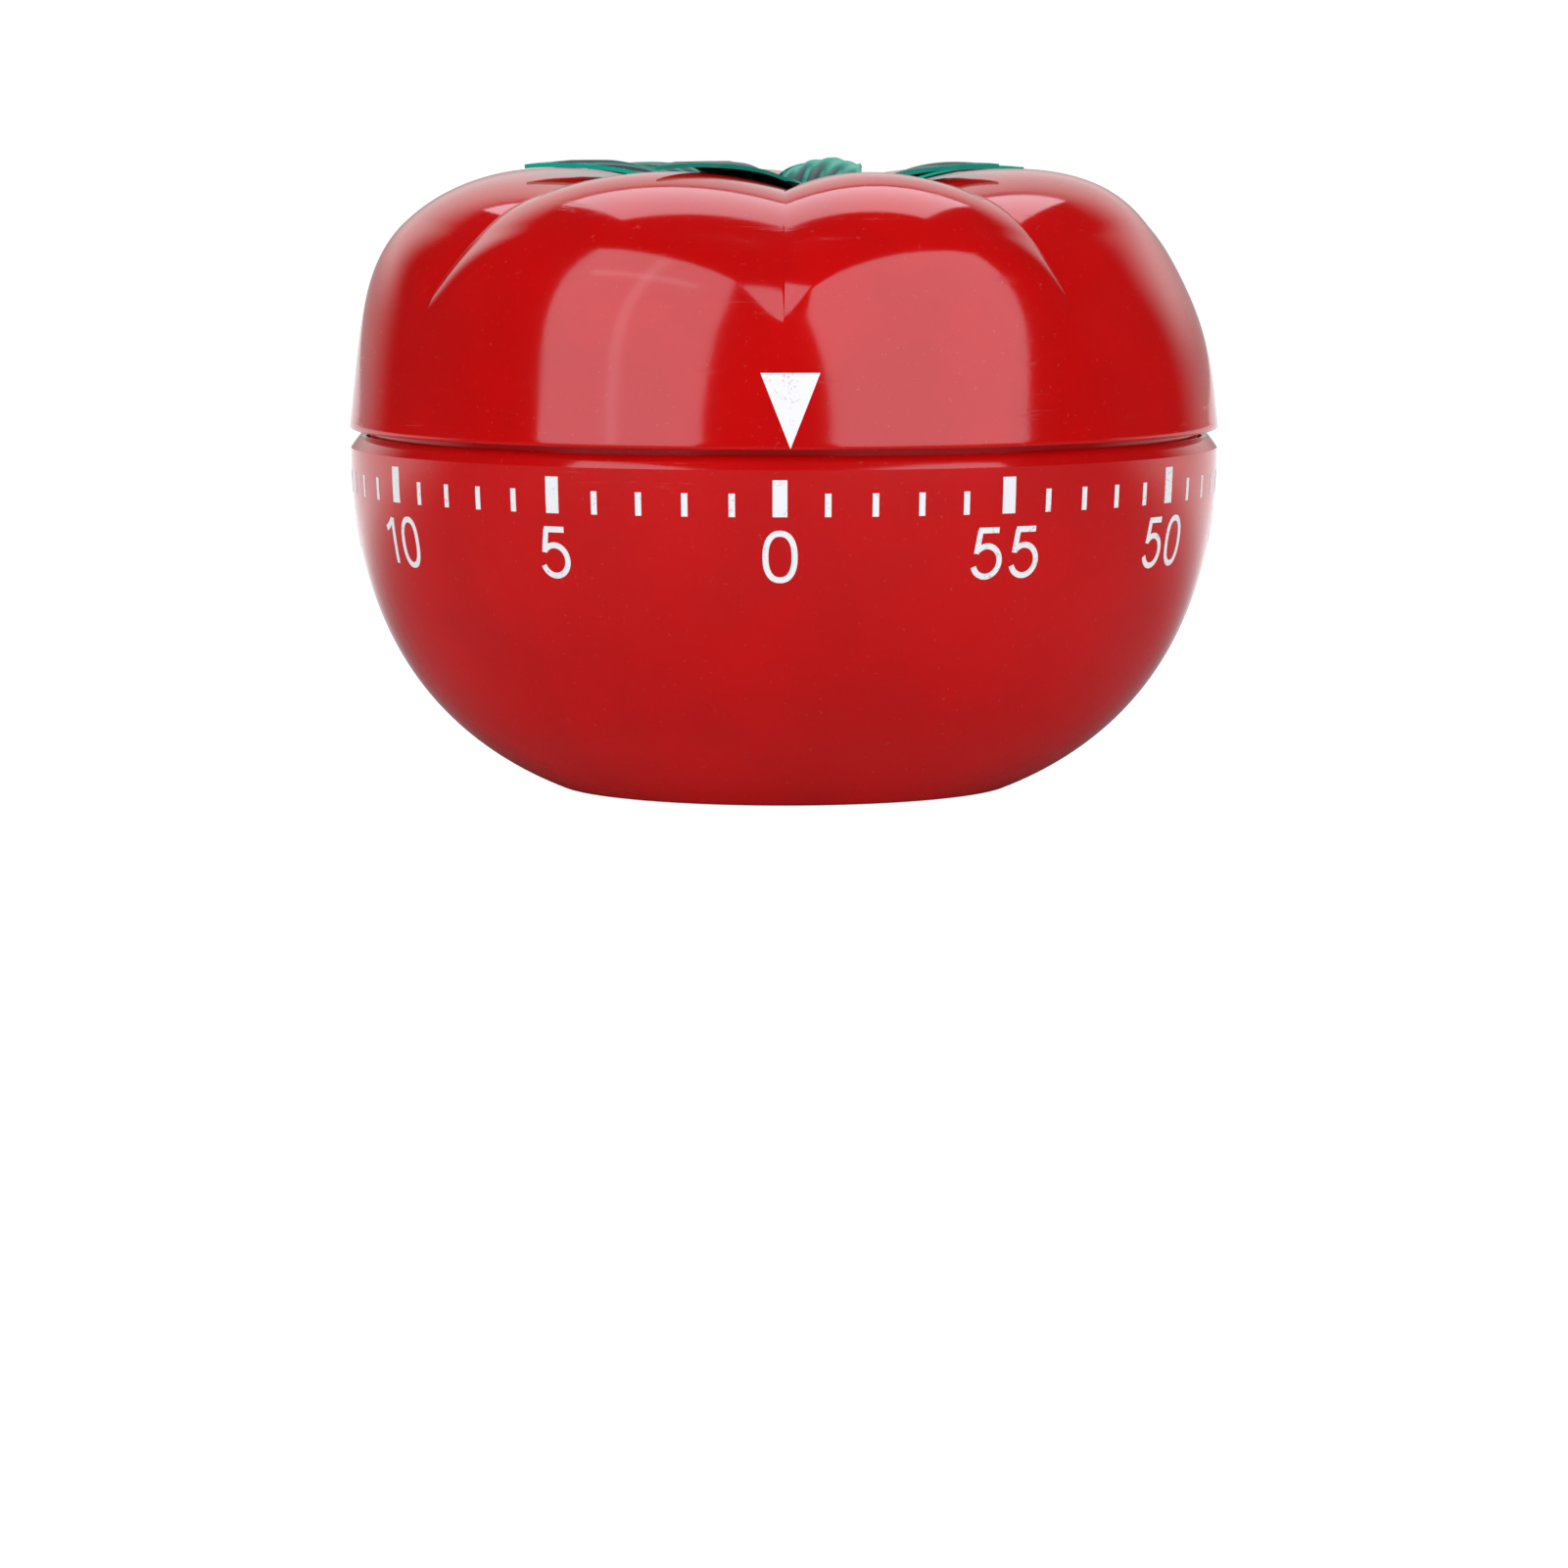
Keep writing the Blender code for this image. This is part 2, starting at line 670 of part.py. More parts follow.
def leaf_rim(leaf, before, share):
    """Where the calyx ends at a share from -1 to 1 across a leaf: (radius, angle). 0 is the tip."""
    tip_angle, tip_radius, root_angle, valley = leaf
    along = (1 - abs(share)) ** 0.8
    radius = LEAF_VALLEY_RADIUS + (tip_radius - LEAF_VALLEY_RADIUS) * along
    middle = root_angle + (tip_angle - root_angle) * along**2
    side = valley if share > 0 else before
    spread = (side - root_angle) * (1 - along**LEAF_TAPER) * LEAF_VALLEY_RADIUS / radius
    return radius, middle + spread


def make_calyx(across=3, rows=4):
    """Six leaves and their hub as one moulding that lies over the lobes."""
    crest = crest_line(26, 10)
    lifted = inside(crest, -LEAF_GAP)
    skin = inside(crest, -LEAF_GAP - LEAF_THICKNESS)
    bore = STEM_RADIUS + SEAT_GAP
    floor = HOLLOW_HEIGHT + SEAT_GAP
    hub_top = HOLLOW_HEIGHT + HUB_RISE
    loops = []
    before = LEAVES[-1][3] - 360
    for leaf in LEAVES:
        for step in range(-across, across):
            share = step / across
            radius, angle = leaf_rim(leaf, before, share)
            side = leaf[3] if share > 0 else before
            hub_angle = leaf[2] + (side - leaf[2]) * abs(share)
            top, under = [], []
            for row in range(rows + 1):
                along = row / rows
                r = HUB_RADIUS + 0.25 + (radius - HUB_RADIUS - 0.25) * along
                a = hub_angle + (angle - hub_angle) * along
                top.append((*polar(r, a), max(height_at(skin, r), floor + LEAF_THICKNESS)))
                under.append((*polar(r, a), max(height_at(lifted, r), floor)))
            hub = [(bore, floor), (bore, hub_top), (HUB_RADIUS, hub_top)]
            ring_points = [(*polar(r, hub_angle), z) for r, z in hub]
            loops.append(ring_points + top + under[::-1])
        before = leaf[3]
    columns("calyx", loops, leaf_plastic)


def make_stem_plug():
    shoulder = HOLLOW_HEIGHT + SEAT_GAP
    foot = shoulder - STEM_SHANK_LENGTH
    rim = STEM_RADIUS - STEM_CHAMFER
    top = HOLLOW_HEIGHT + STEM_RISE
    outline = [
        (0.0, foot),
        (STEM_SHANK_RADIUS, foot),
        (STEM_SHANK_RADIUS, shoulder),
        (STEM_RADIUS, shoulder),
        (STEM_RADIUS, top - STEM_CHAMFER),
        (rim, top),
        (rim - 0.3, top),
        (0.0, top - DIMPLE_DEPTH),
    ]
    turned("stem_plug", outline, stem_plastic, sides=24)


def make_case_screw():
    under_head = WELL_DEPTH - SEAT_GAP
    face = under_head - SCREW_HEAD_HEIGHT
    outline = [
        (0.0, face),
        (SCREW_HEAD_RADIUS * 0.6, face),
        (SCREW_HEAD_RADIUS * 0.9, face + 0.25),
        (SCREW_HEAD_RADIUS, face + 0.75),
        (SCREW_HEAD_RADIUS, under_head),
        (SCREW_RADIUS, under_head),
        (SCREW_RADIUS, under_head + SCREW_LENGTH - 0.5),
        (SCREW_RADIUS * 0.6, under_head + SCREW_LENGTH),
        (0.0, under_head + SCREW_LENGTH),
    ]
    screw = turned("case_screw", outline, zinc_steel, sides=20)
    long, wide = CROSS_LENGTH / 2, CROSS_WIDTH / 2
    arm = [(long, -wide), (long, wide), (wide, wide)]
    cross = [p for _ in range(4) for p in arm]
    cross = [quarter_turn(x, y, i // 3) for i, (x, y) in enumerate(cross)]
    boolean(screw, cutter("screw_cross", [(cross, face - 1.0, face + CROSS_DEPTH)]), "DIFFERENCE")


def quarter_turn(x, y, times):
    for _ in range(times):
        x, y = -y, x
    return x, y


# Frame of the movement


def make_bell():
    wall, floor, rim = BELL_STEEL, BELL_FLOOR, BELL_FLOOR + BELL_RIM_HEIGHT
    outline = [
        (SCREW_RADIUS + SEAT_GAP, floor),
        (BELL_RADIUS - 2.6, floor),
        (BELL_RADIUS - 0.8, floor + 1.0),
        (BELL_RADIUS, floor + 2.8),
        (BELL_RADIUS, rim),
        (BELL_RADIUS - wall, rim),
        (BELL_RADIUS - wall, floor + 2.9),
        (BELL_RADIUS - 0.8 - wall * 0.8, floor + 1.2 + wall * 0.5),
        (BELL_RADIUS - 2.7, floor + wall),
        (SCREW_RADIUS + SEAT_GAP, floor + wall),
    ]
    turned("bell", outline, bell_steel, sides=32, closed=True)


def make_centre_post():
    screw_end = WELL_DEPTH - SEAT_GAP + SCREW_LENGTH + SEAT_GAP
    top = TRAIN_FLOOR + 0.6
    pivot_bore = FOOT_PIVOT + PIVOT_GAP
    outline = [
        (0.0, screw_end),
        (SCREW_RADIUS + SEAT_GAP, screw_end),
        (SCREW_RADIUS + SEAT_GAP, POST_FOOT),
        (POST_RADIUS, POST_FOOT),
        (POST_RADIUS, POST_TOP),
        (POST_NECK, POST_TOP),
        (POST_NECK, top),
        (pivot_bore, top),
        (pivot_bore, POST_TOP + 0.1),
        (0.0, POST_TOP + 0.1),
    ]
    turned("centre_post", outline, zinc_steel, sides=16)


def second_place():
    distance = (WHEEL_TEETH + PINION_LEAVES) * GREAT_MODULE / 2
    return polar(distance, SECOND_DIRECTION)


def third_place():
    distance = (WHEEL_TEETH + PINION_LEAVES) * SECOND_MODULE / 2
    return shifted([polar(distance, THIRD_DIRECTION)], second_place())[0]


def escape_place():
    distance = (WHEEL_TEETH + PINION_LEAVES) * THIRD_MODULE / 2
    return shifted([polar(distance, ESCAPE_DIRECTION)], third_place())[0]


def pivot_places():
    return [second_place(), third_place(), escape_place(), PALLET_PLACE, BALANCE_PLACE]


def pillar_holes():
    return [circle(STUB_RADIUS + SEAT_GAP, PIN, polar(PILLAR_CIRCLE, a)) for a in PILLAR_ANGLES]


def pivot_holes():
    return [circle(PIVOT_RADIUS + PIVOT_GAP, PIN, place) for place in pivot_places()]


def hammer_hole():
    return circle(HAMMER_ARBOR + PIVOT_GAP, PIN, HAMMER_PLACE)


def spring_post_place():
    return polar(MAINSPRING_OUTER + SPRING_POST_RADIUS + SEAT_GAP, 280.0)


def stud_place():
    direction = polar(HAIRSPRING_OUTER + STUD_RADIUS + SEAT_GAP, 20.0)
    return shifted([direction], BALANCE_PLACE)[0]


def make_plates():
    ears = []
    for angle in EAR_ANGLES:
        wide = EAR_HALF_ANGLE
        ears += [
            (PLATE_RADIUS, angle - wide * 1.5),
            (EAR_REACH, angle - wide),
            (EAR_REACH, angle + wide),
            (PLATE_RADIUS, angle + wide * 1.5),
        ]
        ears += [(PLATE_RADIUS, angle + step) for step in range(15, 106, 9)]
    lower_holes = [circle(POST_NECK + SEAT_GAP, 16), hammer_hole(), *pivot_holes(), *pillar_holes()]
    lower_holes += [circle(STUB_RADIUS + SEAT_GAP, PIN, polar(EAR_CIRCLE, a)) for a in EAR_ANGLES]
    lower_holes.append(circle(SPRING_POST_RADIUS + SEAT_GAP, PIN, spring_post_place()))
    outline = [polar(*point) for point in ears]
    stacked("lower_plate", [(outline, LOWER_PLATE, TRAIN_FLOOR)], frame_steel, lower_holes)
    upper_holes = [circle(ARBOR_NECK + RUN_GAP, 16), hammer_hole(), *pivot_holes(), *pillar_holes()]
    upper_holes.append(circle(STOP_RADIUS + SEAT_GAP, PIN, polar(STOP_CIRCLE, STOP_ANGLE)))
    upper_holes.append(circle(RELEASE_PIN + SEAT_GAP, PIN, RELEASE_PLACE))
    upper_holes.append(circle(STUD_RADIUS + SEAT_GAP, PIN, stud_place()))
    disc = circle(PLATE_RADIUS, 36)
    stacked("upper_plate", [(disc, UPPER_PLATE, DECK)], frame_steel, upper_holes)


def make_pillars():
    for i, angle in enumerate(PILLAR_ANGLES, start=1):
        place = polar(PILLAR_CIRCLE, angle)
        body, stub = circle(PILLAR_RADIUS), circle(STUB_RADIUS)
        nut_foot = DECK + SEAT_GAP
        layers = [
            (stub, LOWER_PLATE - 0.5, SHOULDER_LOW),
            (body, SHOULDER_LOW, SHOULDER_HIGH),
            (stub, SHOULDER_HIGH, nut_foot + NUT_HEIGHT),
        ]
        stacked(f"pillar_{i}", layers, zinc_steel, place=place)
        nut = [(circle(NUT_RADIUS, 6), nut_foot, nut_foot + NUT_HEIGHT)]
        bore = circle(STUB_RADIUS + SEAT_GAP)
        stacked(f"pillar_nut_{i}", nut, brass, [bore], place)


def make_fixed_pins():
    stop = [(circle(STOP_RADIUS), UPPER_PLATE - PIN_ROOT, STOP_ARM_FLOOR + PLATE_STEEL + PIN_END)]
    stacked("stop_post", stop, zinc_steel, place=polar(STOP_CIRCLE, STOP_ANGLE))
    spring_top = TRAIN_FLOOR + SPRING_LIFT + SPRING_HEIGHT
    hook = [(circle(SPRING_POST_RADIUS), LOWER_PLATE - PIN_ROOT, spring_top)]
    stacked("spring_post", hook, zinc_steel, place=spring_post_place())
    stud = [(circle(STUD_RADIUS), TRAIN_FLOOR + BALANCE_LIFT + 1.5, DECK)]
    stacked("hairspring_stud", stud, brass, place=stud_place())
    pin = [(circle(RELEASE_PIN), UPPER_PLATE - PIN_ROOT, DECK + CAM_LIFT + PLATE_STEEL + PIN_END)]
    stacked("release_pin", pin, zinc_steel, place=RELEASE_PLACE)


# Main arbor and the pieces on it


def make_main_arbor():
    foot = POST_TOP + SEAT_GAP
    neck_end = STOP_ARM_FLOOR + PLATE_STEEL + 0.5
    d_outline = [polar(d_radius(ARBOR_TOP, ARBOR_FLAT, 18.0 * i), 18.0 * i) for i in range(20)]
    layers = [
        (circle(FOOT_PIVOT, 16), foot, TRAIN_FLOOR + 0.9),
        (circle(ARBOR_RADIUS, DISC), TRAIN_FLOOR + 0.9, SHOULDER_HIGH),
        (circle(ARBOR_NECK, DISC), SHOULDER_HIGH, neck_end),
        (d_outline, neck_end, ARBOR_TIP_HEIGHT),
    ]
    stacked("main_arbor", layers, zinc_steel)


def make_ratchet_wheel():
    low = TRAIN_FLOOR + RATCHET_LIFT
    outline = saw_outline(RATCHET_TEETH, RATCHET_RADIUS, RATCHET_STEP, 0.0)
    bore = circle(ARBOR_RADIUS + RUN_GAP, DISC)
    stacked("ratchet_wheel", [(outline, low, low + PAWL_STEEL)], zinc_steel, [bore])


def make_alarm_cam():
    low = DECK + CAM_LIFT
    notch = 20.0
    rim = [polar(CAM_RADIUS, 330 + notch + (360 - 2 * notch) * i / 21) for i in range(22)]
    outline = [*rim, polar(CAM_RADIUS - CAM_NOTCH, 330.0)]
    bore = circle(ARBOR_NECK + RUN_GAP, DISC)
    stacked("alarm_cam", [(outline, low, low + PLATE_STEEL)], brass, [bore])


def make_stop_arm():
    """An arm that meets the stop post after nearly a whole turn."""
    low = STOP_ARM_FLOOR
    half = STOP_ARM_HALF_WIDTH
    rest = STOP_ANGLE - (360 - STOP_TRAVEL) / 2
    hub = 3.6
    side = math.degrees(math.asin(half / hub))
    outline = [polar(hub, side + (360 - 2 * side) * i / 14) for i in range(15)]
    outline += [(STOP_CIRCLE + 1.0, -half), (STOP_CIRCLE + 1.0, half)]
    turn = math.radians(rest)
    outline = [
        (x * math.cos(turn) - y * math.sin(turn), x * math.sin(turn) + y * math.cos(turn))
        for x, y in outline
    ]
    bore = circle(ARBOR_NECK + RUN_GAP, DISC)
    stacked("stop_arm", [(outline, low, low + PLATE_STEEL)], frame_steel, [bore])


def make_mainspring():
    low = TRAIN_FLOOR + SPRING_LIFT
    outline = spiral_outline(
        MAINSPRING_INNER, MAINSPRING_OUTER, MAINSPRING_TURNS, MAINSPRING_STRIP, 16, 280.0
    )
    stacked("mainspring", [(outline, low, low + SPRING_HEIGHT)], spring_steel)


# Train


def make_great_wheel():
    low = TRAIN_FLOOR + GREAT_LIFT
    pin_place = polar(CLICK_CIRCLE, 0.0)
    holes = [circle(ARBOR_RADIUS + RUN_GAP, DISC), circle(CLICK_PIN + SEAT_GAP, PIN, pin_place)]
    holes += windows(5.5, 12.0, 3, 36.0)
    outline = wheel_outline(GREAT_MODULE, SECOND_DIRECTION)
    stacked("great_wheel", [(outline, low, low + PLATE_STEEL)], brass, holes)
    pin_low = TRAIN_FLOOR + RATCHET_LIFT - PIN_ROOT
    pin = [(circle(CLICK_PIN), pin_low, low + PLATE_STEEL)]
    stacked("click_pin", pin, zinc_steel, place=pin_place)


def make_click():
    """The pawl that lets the knob be wound while the great wheel stands still."""
    low = TRAIN_FLOOR + RATCHET_LIFT
    place = polar(CLICK_CIRCLE, 0.0)
    outline = [(-3.3, 2.6), (-3.9, 3.4), (-1.0, 1.9), (1.1, 1.0), (1.3, -0.6), (0.3, -1.3), (-1.0, -0.6)]
    bore = circle(CLICK_PIN + RUN_GAP)
    stacked("click", [(outline, low, low + PAWL_STEEL)], spring_steel, [bore], place)


def make_pinion(name, module, arbor, phase, low, high, place):
    """A pinion cut on its own arbor, with a pivot at each end."""
    rod, pivot = circle(arbor), circle(PIVOT_RADIUS if arbor > PIVOT_RADIUS else arbor - 0.1)
    layers = [
        (pivot, PIVOT_LOW, SHOULDER_LOW),
        (rod, SHOULDER_LOW, low),
        (pinion_outline(module, phase), low, high),
        (rod, high, SHOULDER_HIGH),
        (pivot, SHOULDER_HIGH, PIVOT_HIGH),
    ]
    stacked(name, layers, zinc_steel, place=place)


def half_leaf(direction):
    """A pinion's phase that puts the gap between two leaves towards the wheel that turns it."""
    return direction + 180 + 180 / PINION_LEAVES


def make_second_wheel():
    place = second_place()
    low = TRAIN_FLOOR + GREAT_LIFT - PINION_OVERHANG
    phase = half_leaf(SECOND_DIRECTION)
    make_pinion("second_pinion", GREAT_MODULE, SECOND_ARBOR, phase, low, low + 1.8, place)
    low = TRAIN_FLOOR + SECOND_LIFT
    outline = wheel_outline(SECOND_MODULE, THIRD_DIRECTION)
    holes = [circle(SECOND_ARBOR + RUN_GAP)] + windows(3.2, 7.6, 3, 34.0, THIRD_DIRECTION)
    stacked("second_wheel", [(outline, low, low + WHEEL_STEEL)], brass, holes, place)


def make_third_wheel():
    place = third_place()
    low = TRAIN_FLOOR + SECOND_LIFT - PINION_OVERHANG
    phase = half_leaf(THIRD_DIRECTION)
    make_pinion("third_pinion", SECOND_MODULE, THIRD_ARBOR, phase, low, low + 1.6, place)
    low = TRAIN_FLOOR + THIRD_LIFT
    outline = wheel_outline(THIRD_MODULE, ESCAPE_DIRECTION)
    holes = [circle(THIRD_ARBOR + RUN_GAP)] + windows(2.8, 6.6, 3, 34.0)
    stacked("third_wheel", [(outline, low, low + PAWL_STEEL)], brass, holes, place)


def make_escape_wheel():
    place = escape_place()
    low = TRAIN_FLOOR + THIRD_LIFT - PINION_OVERHANG
    phase = half_leaf(ESCAPE_DIRECTION)
    make_pinion("escape_pinion", THIRD_MODULE, ESCAPE_ARBOR, phase, low, low + 1.5, place)
    low = TRAIN_FLOOR + ESCAPE_LIFT
    outline = saw_outline(ESCAPE_TEETH, ESCAPE_RADIUS, 0.8, 0.0)
    holes = [circle(ESCAPE_ARBOR + RUN_GAP)] + windows(1.8, 3.7, 3, 40.0)
    stacked("escape_wheel", [(outline, low, low + THIN_STEEL)], brass, holes, place)


# Escapement


def make_slim_arbor(name, place, layers=()):
    """An arbor between the plates. layers are wider discs on it, from the lowest up."""
    rod, pivot = circle(SLIM_ARBOR), circle(SLIM_ARBOR - 0.1)
    parts = [(pivot, PIVOT_LOW, SHOULDER_LOW)]
    height = SHOULDER_LOW
    for outline, low, high in layers:
        parts += [(rod, height, low), (outline, low, high)]
        height = high
    parts += [(rod, height, SHOULDER_HIGH), (pivot, SHOULDER_HIGH, PIVOT_HIGH)]
    return stacked(name, parts, zinc_steel, place=place)


def make_pallet_lever():
    """The anchor that the escape wheel rocks, with the fork that the balance swings."""
    make_slim_arbor("pallet_arbor", PALLET_PLACE)
    wheel = Vector(escape_place()) - Vector(PALLET_PLACE)
    balance = Vector(BALANCE_PLACE) - Vector(PALLET_PLACE)
    towards = math.degrees(math.atan2(wheel.y, wheel.x))
    tail = math.degrees(math.atan2(balance.y, balance.x))
    claw = ESCAPE_RADIUS + PALLET_CLEARANCE
    spread = 34.0
    tips = []
    for side in (-1, 1):
        reach = Vector(polar(claw, towards + 180 + side * spread)) + wheel
        tips.append((reach.length, math.degrees(math.atan2(reach.y, reach.x))))
    (first_reach, first), (last_reach, last) = sorted(tips, key=lambda tip: (tip[1] - towards) % 360)
    (low_reach, low), (high_reach, high) = (last_reach, last), (first_reach, first)
    length = balance.length - ROLLER_RADIUS - 0.6
    outline = [
        polar(1.3, towards),
        polar(high_reach, high),
        polar(high_reach + 0.1, high + 16),
        polar(1.6, towards + 110),
        polar(1.0, tail + 60 - 110),
        polar(length, tail - 3),
        polar(length, tail + 3),
        polar(1.0, tail + 60),
        polar(1.6, towards - 110),
        polar(low_reach + 0.1, low - 16),
        polar(low_reach, low),
    ]
    turns = sorted(outline, key=lambda p: (math.degrees(math.atan2(p[1], p[0])) - towards) % 360)
    floor = TRAIN_FLOOR + ESCAPE_LIFT
    bore = circle(SLIM_ARBOR + RUN_GAP)
    stacked("pallet_lever", [(turns, floor, floor + THIN_STEEL)], frame_steel, [bore], PALLET_PLACE)


def make_balance():
    roller = TRAIN_FLOOR + ESCAPE_LIFT
    layers = [(circle(ROLLER_RADIUS), roller, roller + THIN_STEEL)]
    make_slim_arbor("balance_staff", BALANCE_PLACE, layers)
    low = TRAIN_FLOOR + BALANCE_LIFT
    holes = [circle(SLIM_ARBOR + RUN_GAP)] + windows(1.6, BALANCE_RADIUS - BALANCE_RIM, 2, 24.0)
    disc = circle(BALANCE_RADIUS, DISC)
    stacked("balance_wheel", [(disc, low, low + 1.0)], brass, holes, BALANCE_PLACE)
    outline = spiral_outline(
        HAIRSPRING_INNER, HAIRSPRING_OUTER, HAIRSPRING_TURNS, HAIRSPRING_STRIP, 12, 20.0
    )
    low += 1.6
    spring = [(outline, low, low + HAIRSPRING_HEIGHT)]
    stacked("hairspring", spring, spring_steel, place=BALANCE_PLACE)


# Bell hammer


def make_hammer():
    low = BELL_FLOOR + BELL_STEEL + 2.7
    head_circle = BELL_RADIUS - BELL_STEEL - HAMMER_GAP - HAMMER_HEAD_RADIUS
    head = Vector(polar(head_circle, HAMMER_HEAD_ANGLE)) - Vector(HAMMER_PLACE)
    towards = math.degrees(math.atan2(head.y, head.x))
    eye = 1.9
    slim = 24.0
    outline = [polar(eye, towards + slim + (360 - 2 * slim) * i / 10) for i in range(11)]
    facing = 180 + towards
    blunt = math.degrees(math.asin(0.5 / HAMMER_HEAD_RADIUS))
    arc = [facing + blunt + (360 - 2 * blunt) * i / 10 for i in range(11)]
    outline += [(head.x + x, head.y + y) for x, y in (polar(HAMMER_HEAD_RADIUS, a) for a in arc)]
    bore = circle(HAMMER_ARBOR + RUN_GAP)
    steel = [(outline, low, low + HAMMER_STEEL)]
    stacked("hammer", steel, zinc_steel, [bore], HAMMER_PLACE)
    top = DECK + CAM_LIFT + PLATE_STEEL + PIN_END
    rod = [(circle(HAMMER_ARBOR), low - PIN_END, top)]
    stacked("hammer_arbor", rod, zinc_steel, place=HAMMER_PLACE)
    tail_low = DECK + CAM_LIFT
    eye_line = [polar(1.7, 60 + 300 * i / 9 + 30) for i in range(10)]
    tail = [*eye_line, polar(4.2, 52.0), polar(4.2, 68.0)]
    bore = circle(HAMMER_ARBOR + RUN_GAP)
    stacked("hammer_tail", [(tail, tail_low, tail_low + PLATE_STEEL)], frame_steel, [bore], HAMMER_PLACE)


def make_release_lever():
    """A lever that follows the cam and holds the hammer's tail until the knob comes back to zero."""
    low = DECK + CAM_LIFT
    inwards = math.degrees(math.atan2(-RELEASE_PLACE[1], -RELEASE_PLACE[0]))
    distance = math.hypot(*RELEASE_PLACE)
    nose = distance - CAM_RADIUS - 0.5
    outline = [
        polar(nose, inwards - 3),
        polar(nose, inwards + 3),
        polar(1.7, inwards + 60),
        polar(1.7, inwards + 90),
        polar(9.2, 233.0),
        polar(9.2, 238.0),
        polar(1.7, 270.0),
        polar(1.7, 330.0),
        polar(1.7, 30.0),
        polar(1.7, inwards - 60),
    ]
    turns = sorted(outline, key=lambda p: math.atan2(p[1], p[0]))
    bore = circle(RELEASE_PIN + RUN_GAP)
    steel = [(turns, low, low + PLATE_STEEL)]
    stacked("release_lever", steel, frame_steel, [bore], RELEASE_PLACE)


def main():
    for obj in list(bpy.data.objects):
        bpy.data.objects.remove(obj, do_unlink=True)
    make_lower_shell()
    make_collar_band()
    make_upper_shell()
    make_calyx()
    make_stem_plug()
    make_case_screw()
    make_bell()
    make_centre_post()
    make_plates()
    make_pillars()
    make_fixed_pins()
    make_main_arbor()
    make_ratchet_wheel()
    make_alarm_cam()
    make_stop_arm()
    make_mainspring()
    make_great_wheel()
    make_click()
    make_second_wheel()
    make_third_wheel()
    make_escape_wheel()
    make_pallet_lever()
    make_balance()
    make_hammer()
    make_release_lever()


main()
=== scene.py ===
"""A tomato-shaped clockwork kitchen timer: its glossy shells, leafy crown, printed dial and finishes.

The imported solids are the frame. Everything is in metres, +Z up, and the zero of the dial faces -Y.
"""

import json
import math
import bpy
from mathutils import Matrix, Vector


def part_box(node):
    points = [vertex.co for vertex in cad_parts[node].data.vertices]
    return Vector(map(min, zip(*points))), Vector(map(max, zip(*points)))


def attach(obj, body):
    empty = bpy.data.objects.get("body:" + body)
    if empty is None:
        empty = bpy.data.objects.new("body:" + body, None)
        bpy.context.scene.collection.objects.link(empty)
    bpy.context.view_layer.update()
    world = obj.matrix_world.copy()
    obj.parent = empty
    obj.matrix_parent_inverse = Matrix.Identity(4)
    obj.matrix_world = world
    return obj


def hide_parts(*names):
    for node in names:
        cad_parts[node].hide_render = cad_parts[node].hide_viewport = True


bl_info = {
    "name": "Tomato kitchen timer",
    "version": (1, 0, 0),
    "blender": (4, 5, 0),
    "location": "3D View > Sidebar > Timer",
    "description": "Models the shells, crown, print and finishes of a clockwork kitchen timer",
    "category": "Object",
}

import bpy
from bpy.props import FloatProperty, FloatVectorProperty, PointerProperty
from mathutils import Vector
from mathutils.kdtree import KDTree

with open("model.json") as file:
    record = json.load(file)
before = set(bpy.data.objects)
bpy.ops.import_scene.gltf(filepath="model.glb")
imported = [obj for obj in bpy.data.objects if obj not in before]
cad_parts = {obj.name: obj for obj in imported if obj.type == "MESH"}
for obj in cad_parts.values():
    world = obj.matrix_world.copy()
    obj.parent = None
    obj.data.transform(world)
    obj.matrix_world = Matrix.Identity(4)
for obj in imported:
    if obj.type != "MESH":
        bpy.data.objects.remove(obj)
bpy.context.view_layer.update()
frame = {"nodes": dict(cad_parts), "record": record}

MM = 0.001
# Points nearer than this are one point, and a spun point may lie this far off its outline
WELD = 1e-7
SPIN_ERROR = 1e-5
LOWER_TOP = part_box("lower_shell")[1]
UPPER_LOW, UPPER_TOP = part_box("upper_shell")
COLLAR_LOW, COLLAR_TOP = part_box("collar_band")
STEM_LOW, STEM_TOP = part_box("stem_plug")
CALYX_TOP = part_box("calyx")[1]
SCREW_LOW, SCREW_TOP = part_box("case_screw")

# Share of the grooves' depth at the hollow's floor and on the crest, and how fast a crease narrows below it
HOLLOW_GROOVE = 0.42
CREST_GROOVE = 0.86
GROOVE_FLARE = 12.0

# Lobes of the upper shell: the angle where each begins, how far its crest lies inside the round form,
# and how far its shoulder swells out of it
LOBES = (
    (270.0, 0.15 * MM, 0.0),
    (311.8, 0.0, -0.9 * MM),
    (379.5, 0.2 * MM, -0.3 * MM),
    (433.2, 0.3 * MM, 0.2 * MM),
    (492.5, 0.0, 0.65 * MM),
    (573.4, 0.1 * MM, 0.15 * MM),
)

# Leaves of the calyx: the angle and the radius of the tip, the angle of the root, the valley after it, how
# far the leaf stands off the shell, and how green it is
LEAVES = (
    (326.6, 21.7 * MM, 327.5, 348.0, 0.0, 0.3),
    (380.8, 22.4 * MM, 377.5, 403.0, -0.1 * MM, 0.9),
    (435.0, 25.8 * MM, 436.0, 463.0, 0.45 * MM, 1.0),
    (495.8, 25.4 * MM, 486.0, 525.0, 0.1 * MM, 0.6),
    (555.3, 22.9 * MM, 556.5, 583.0, 0.2 * MM, 0.7),
    (603.4, 23.8 * MM, 615.0, 650.0, 0.4 * MM, 0.1),
)


def length(name, text, default):
    return FloatProperty(name=name, description=text, default=default, unit="LENGTH", precision=5)


def degrees(name, text, default):
    return FloatProperty(name=name, description=text, default=default)


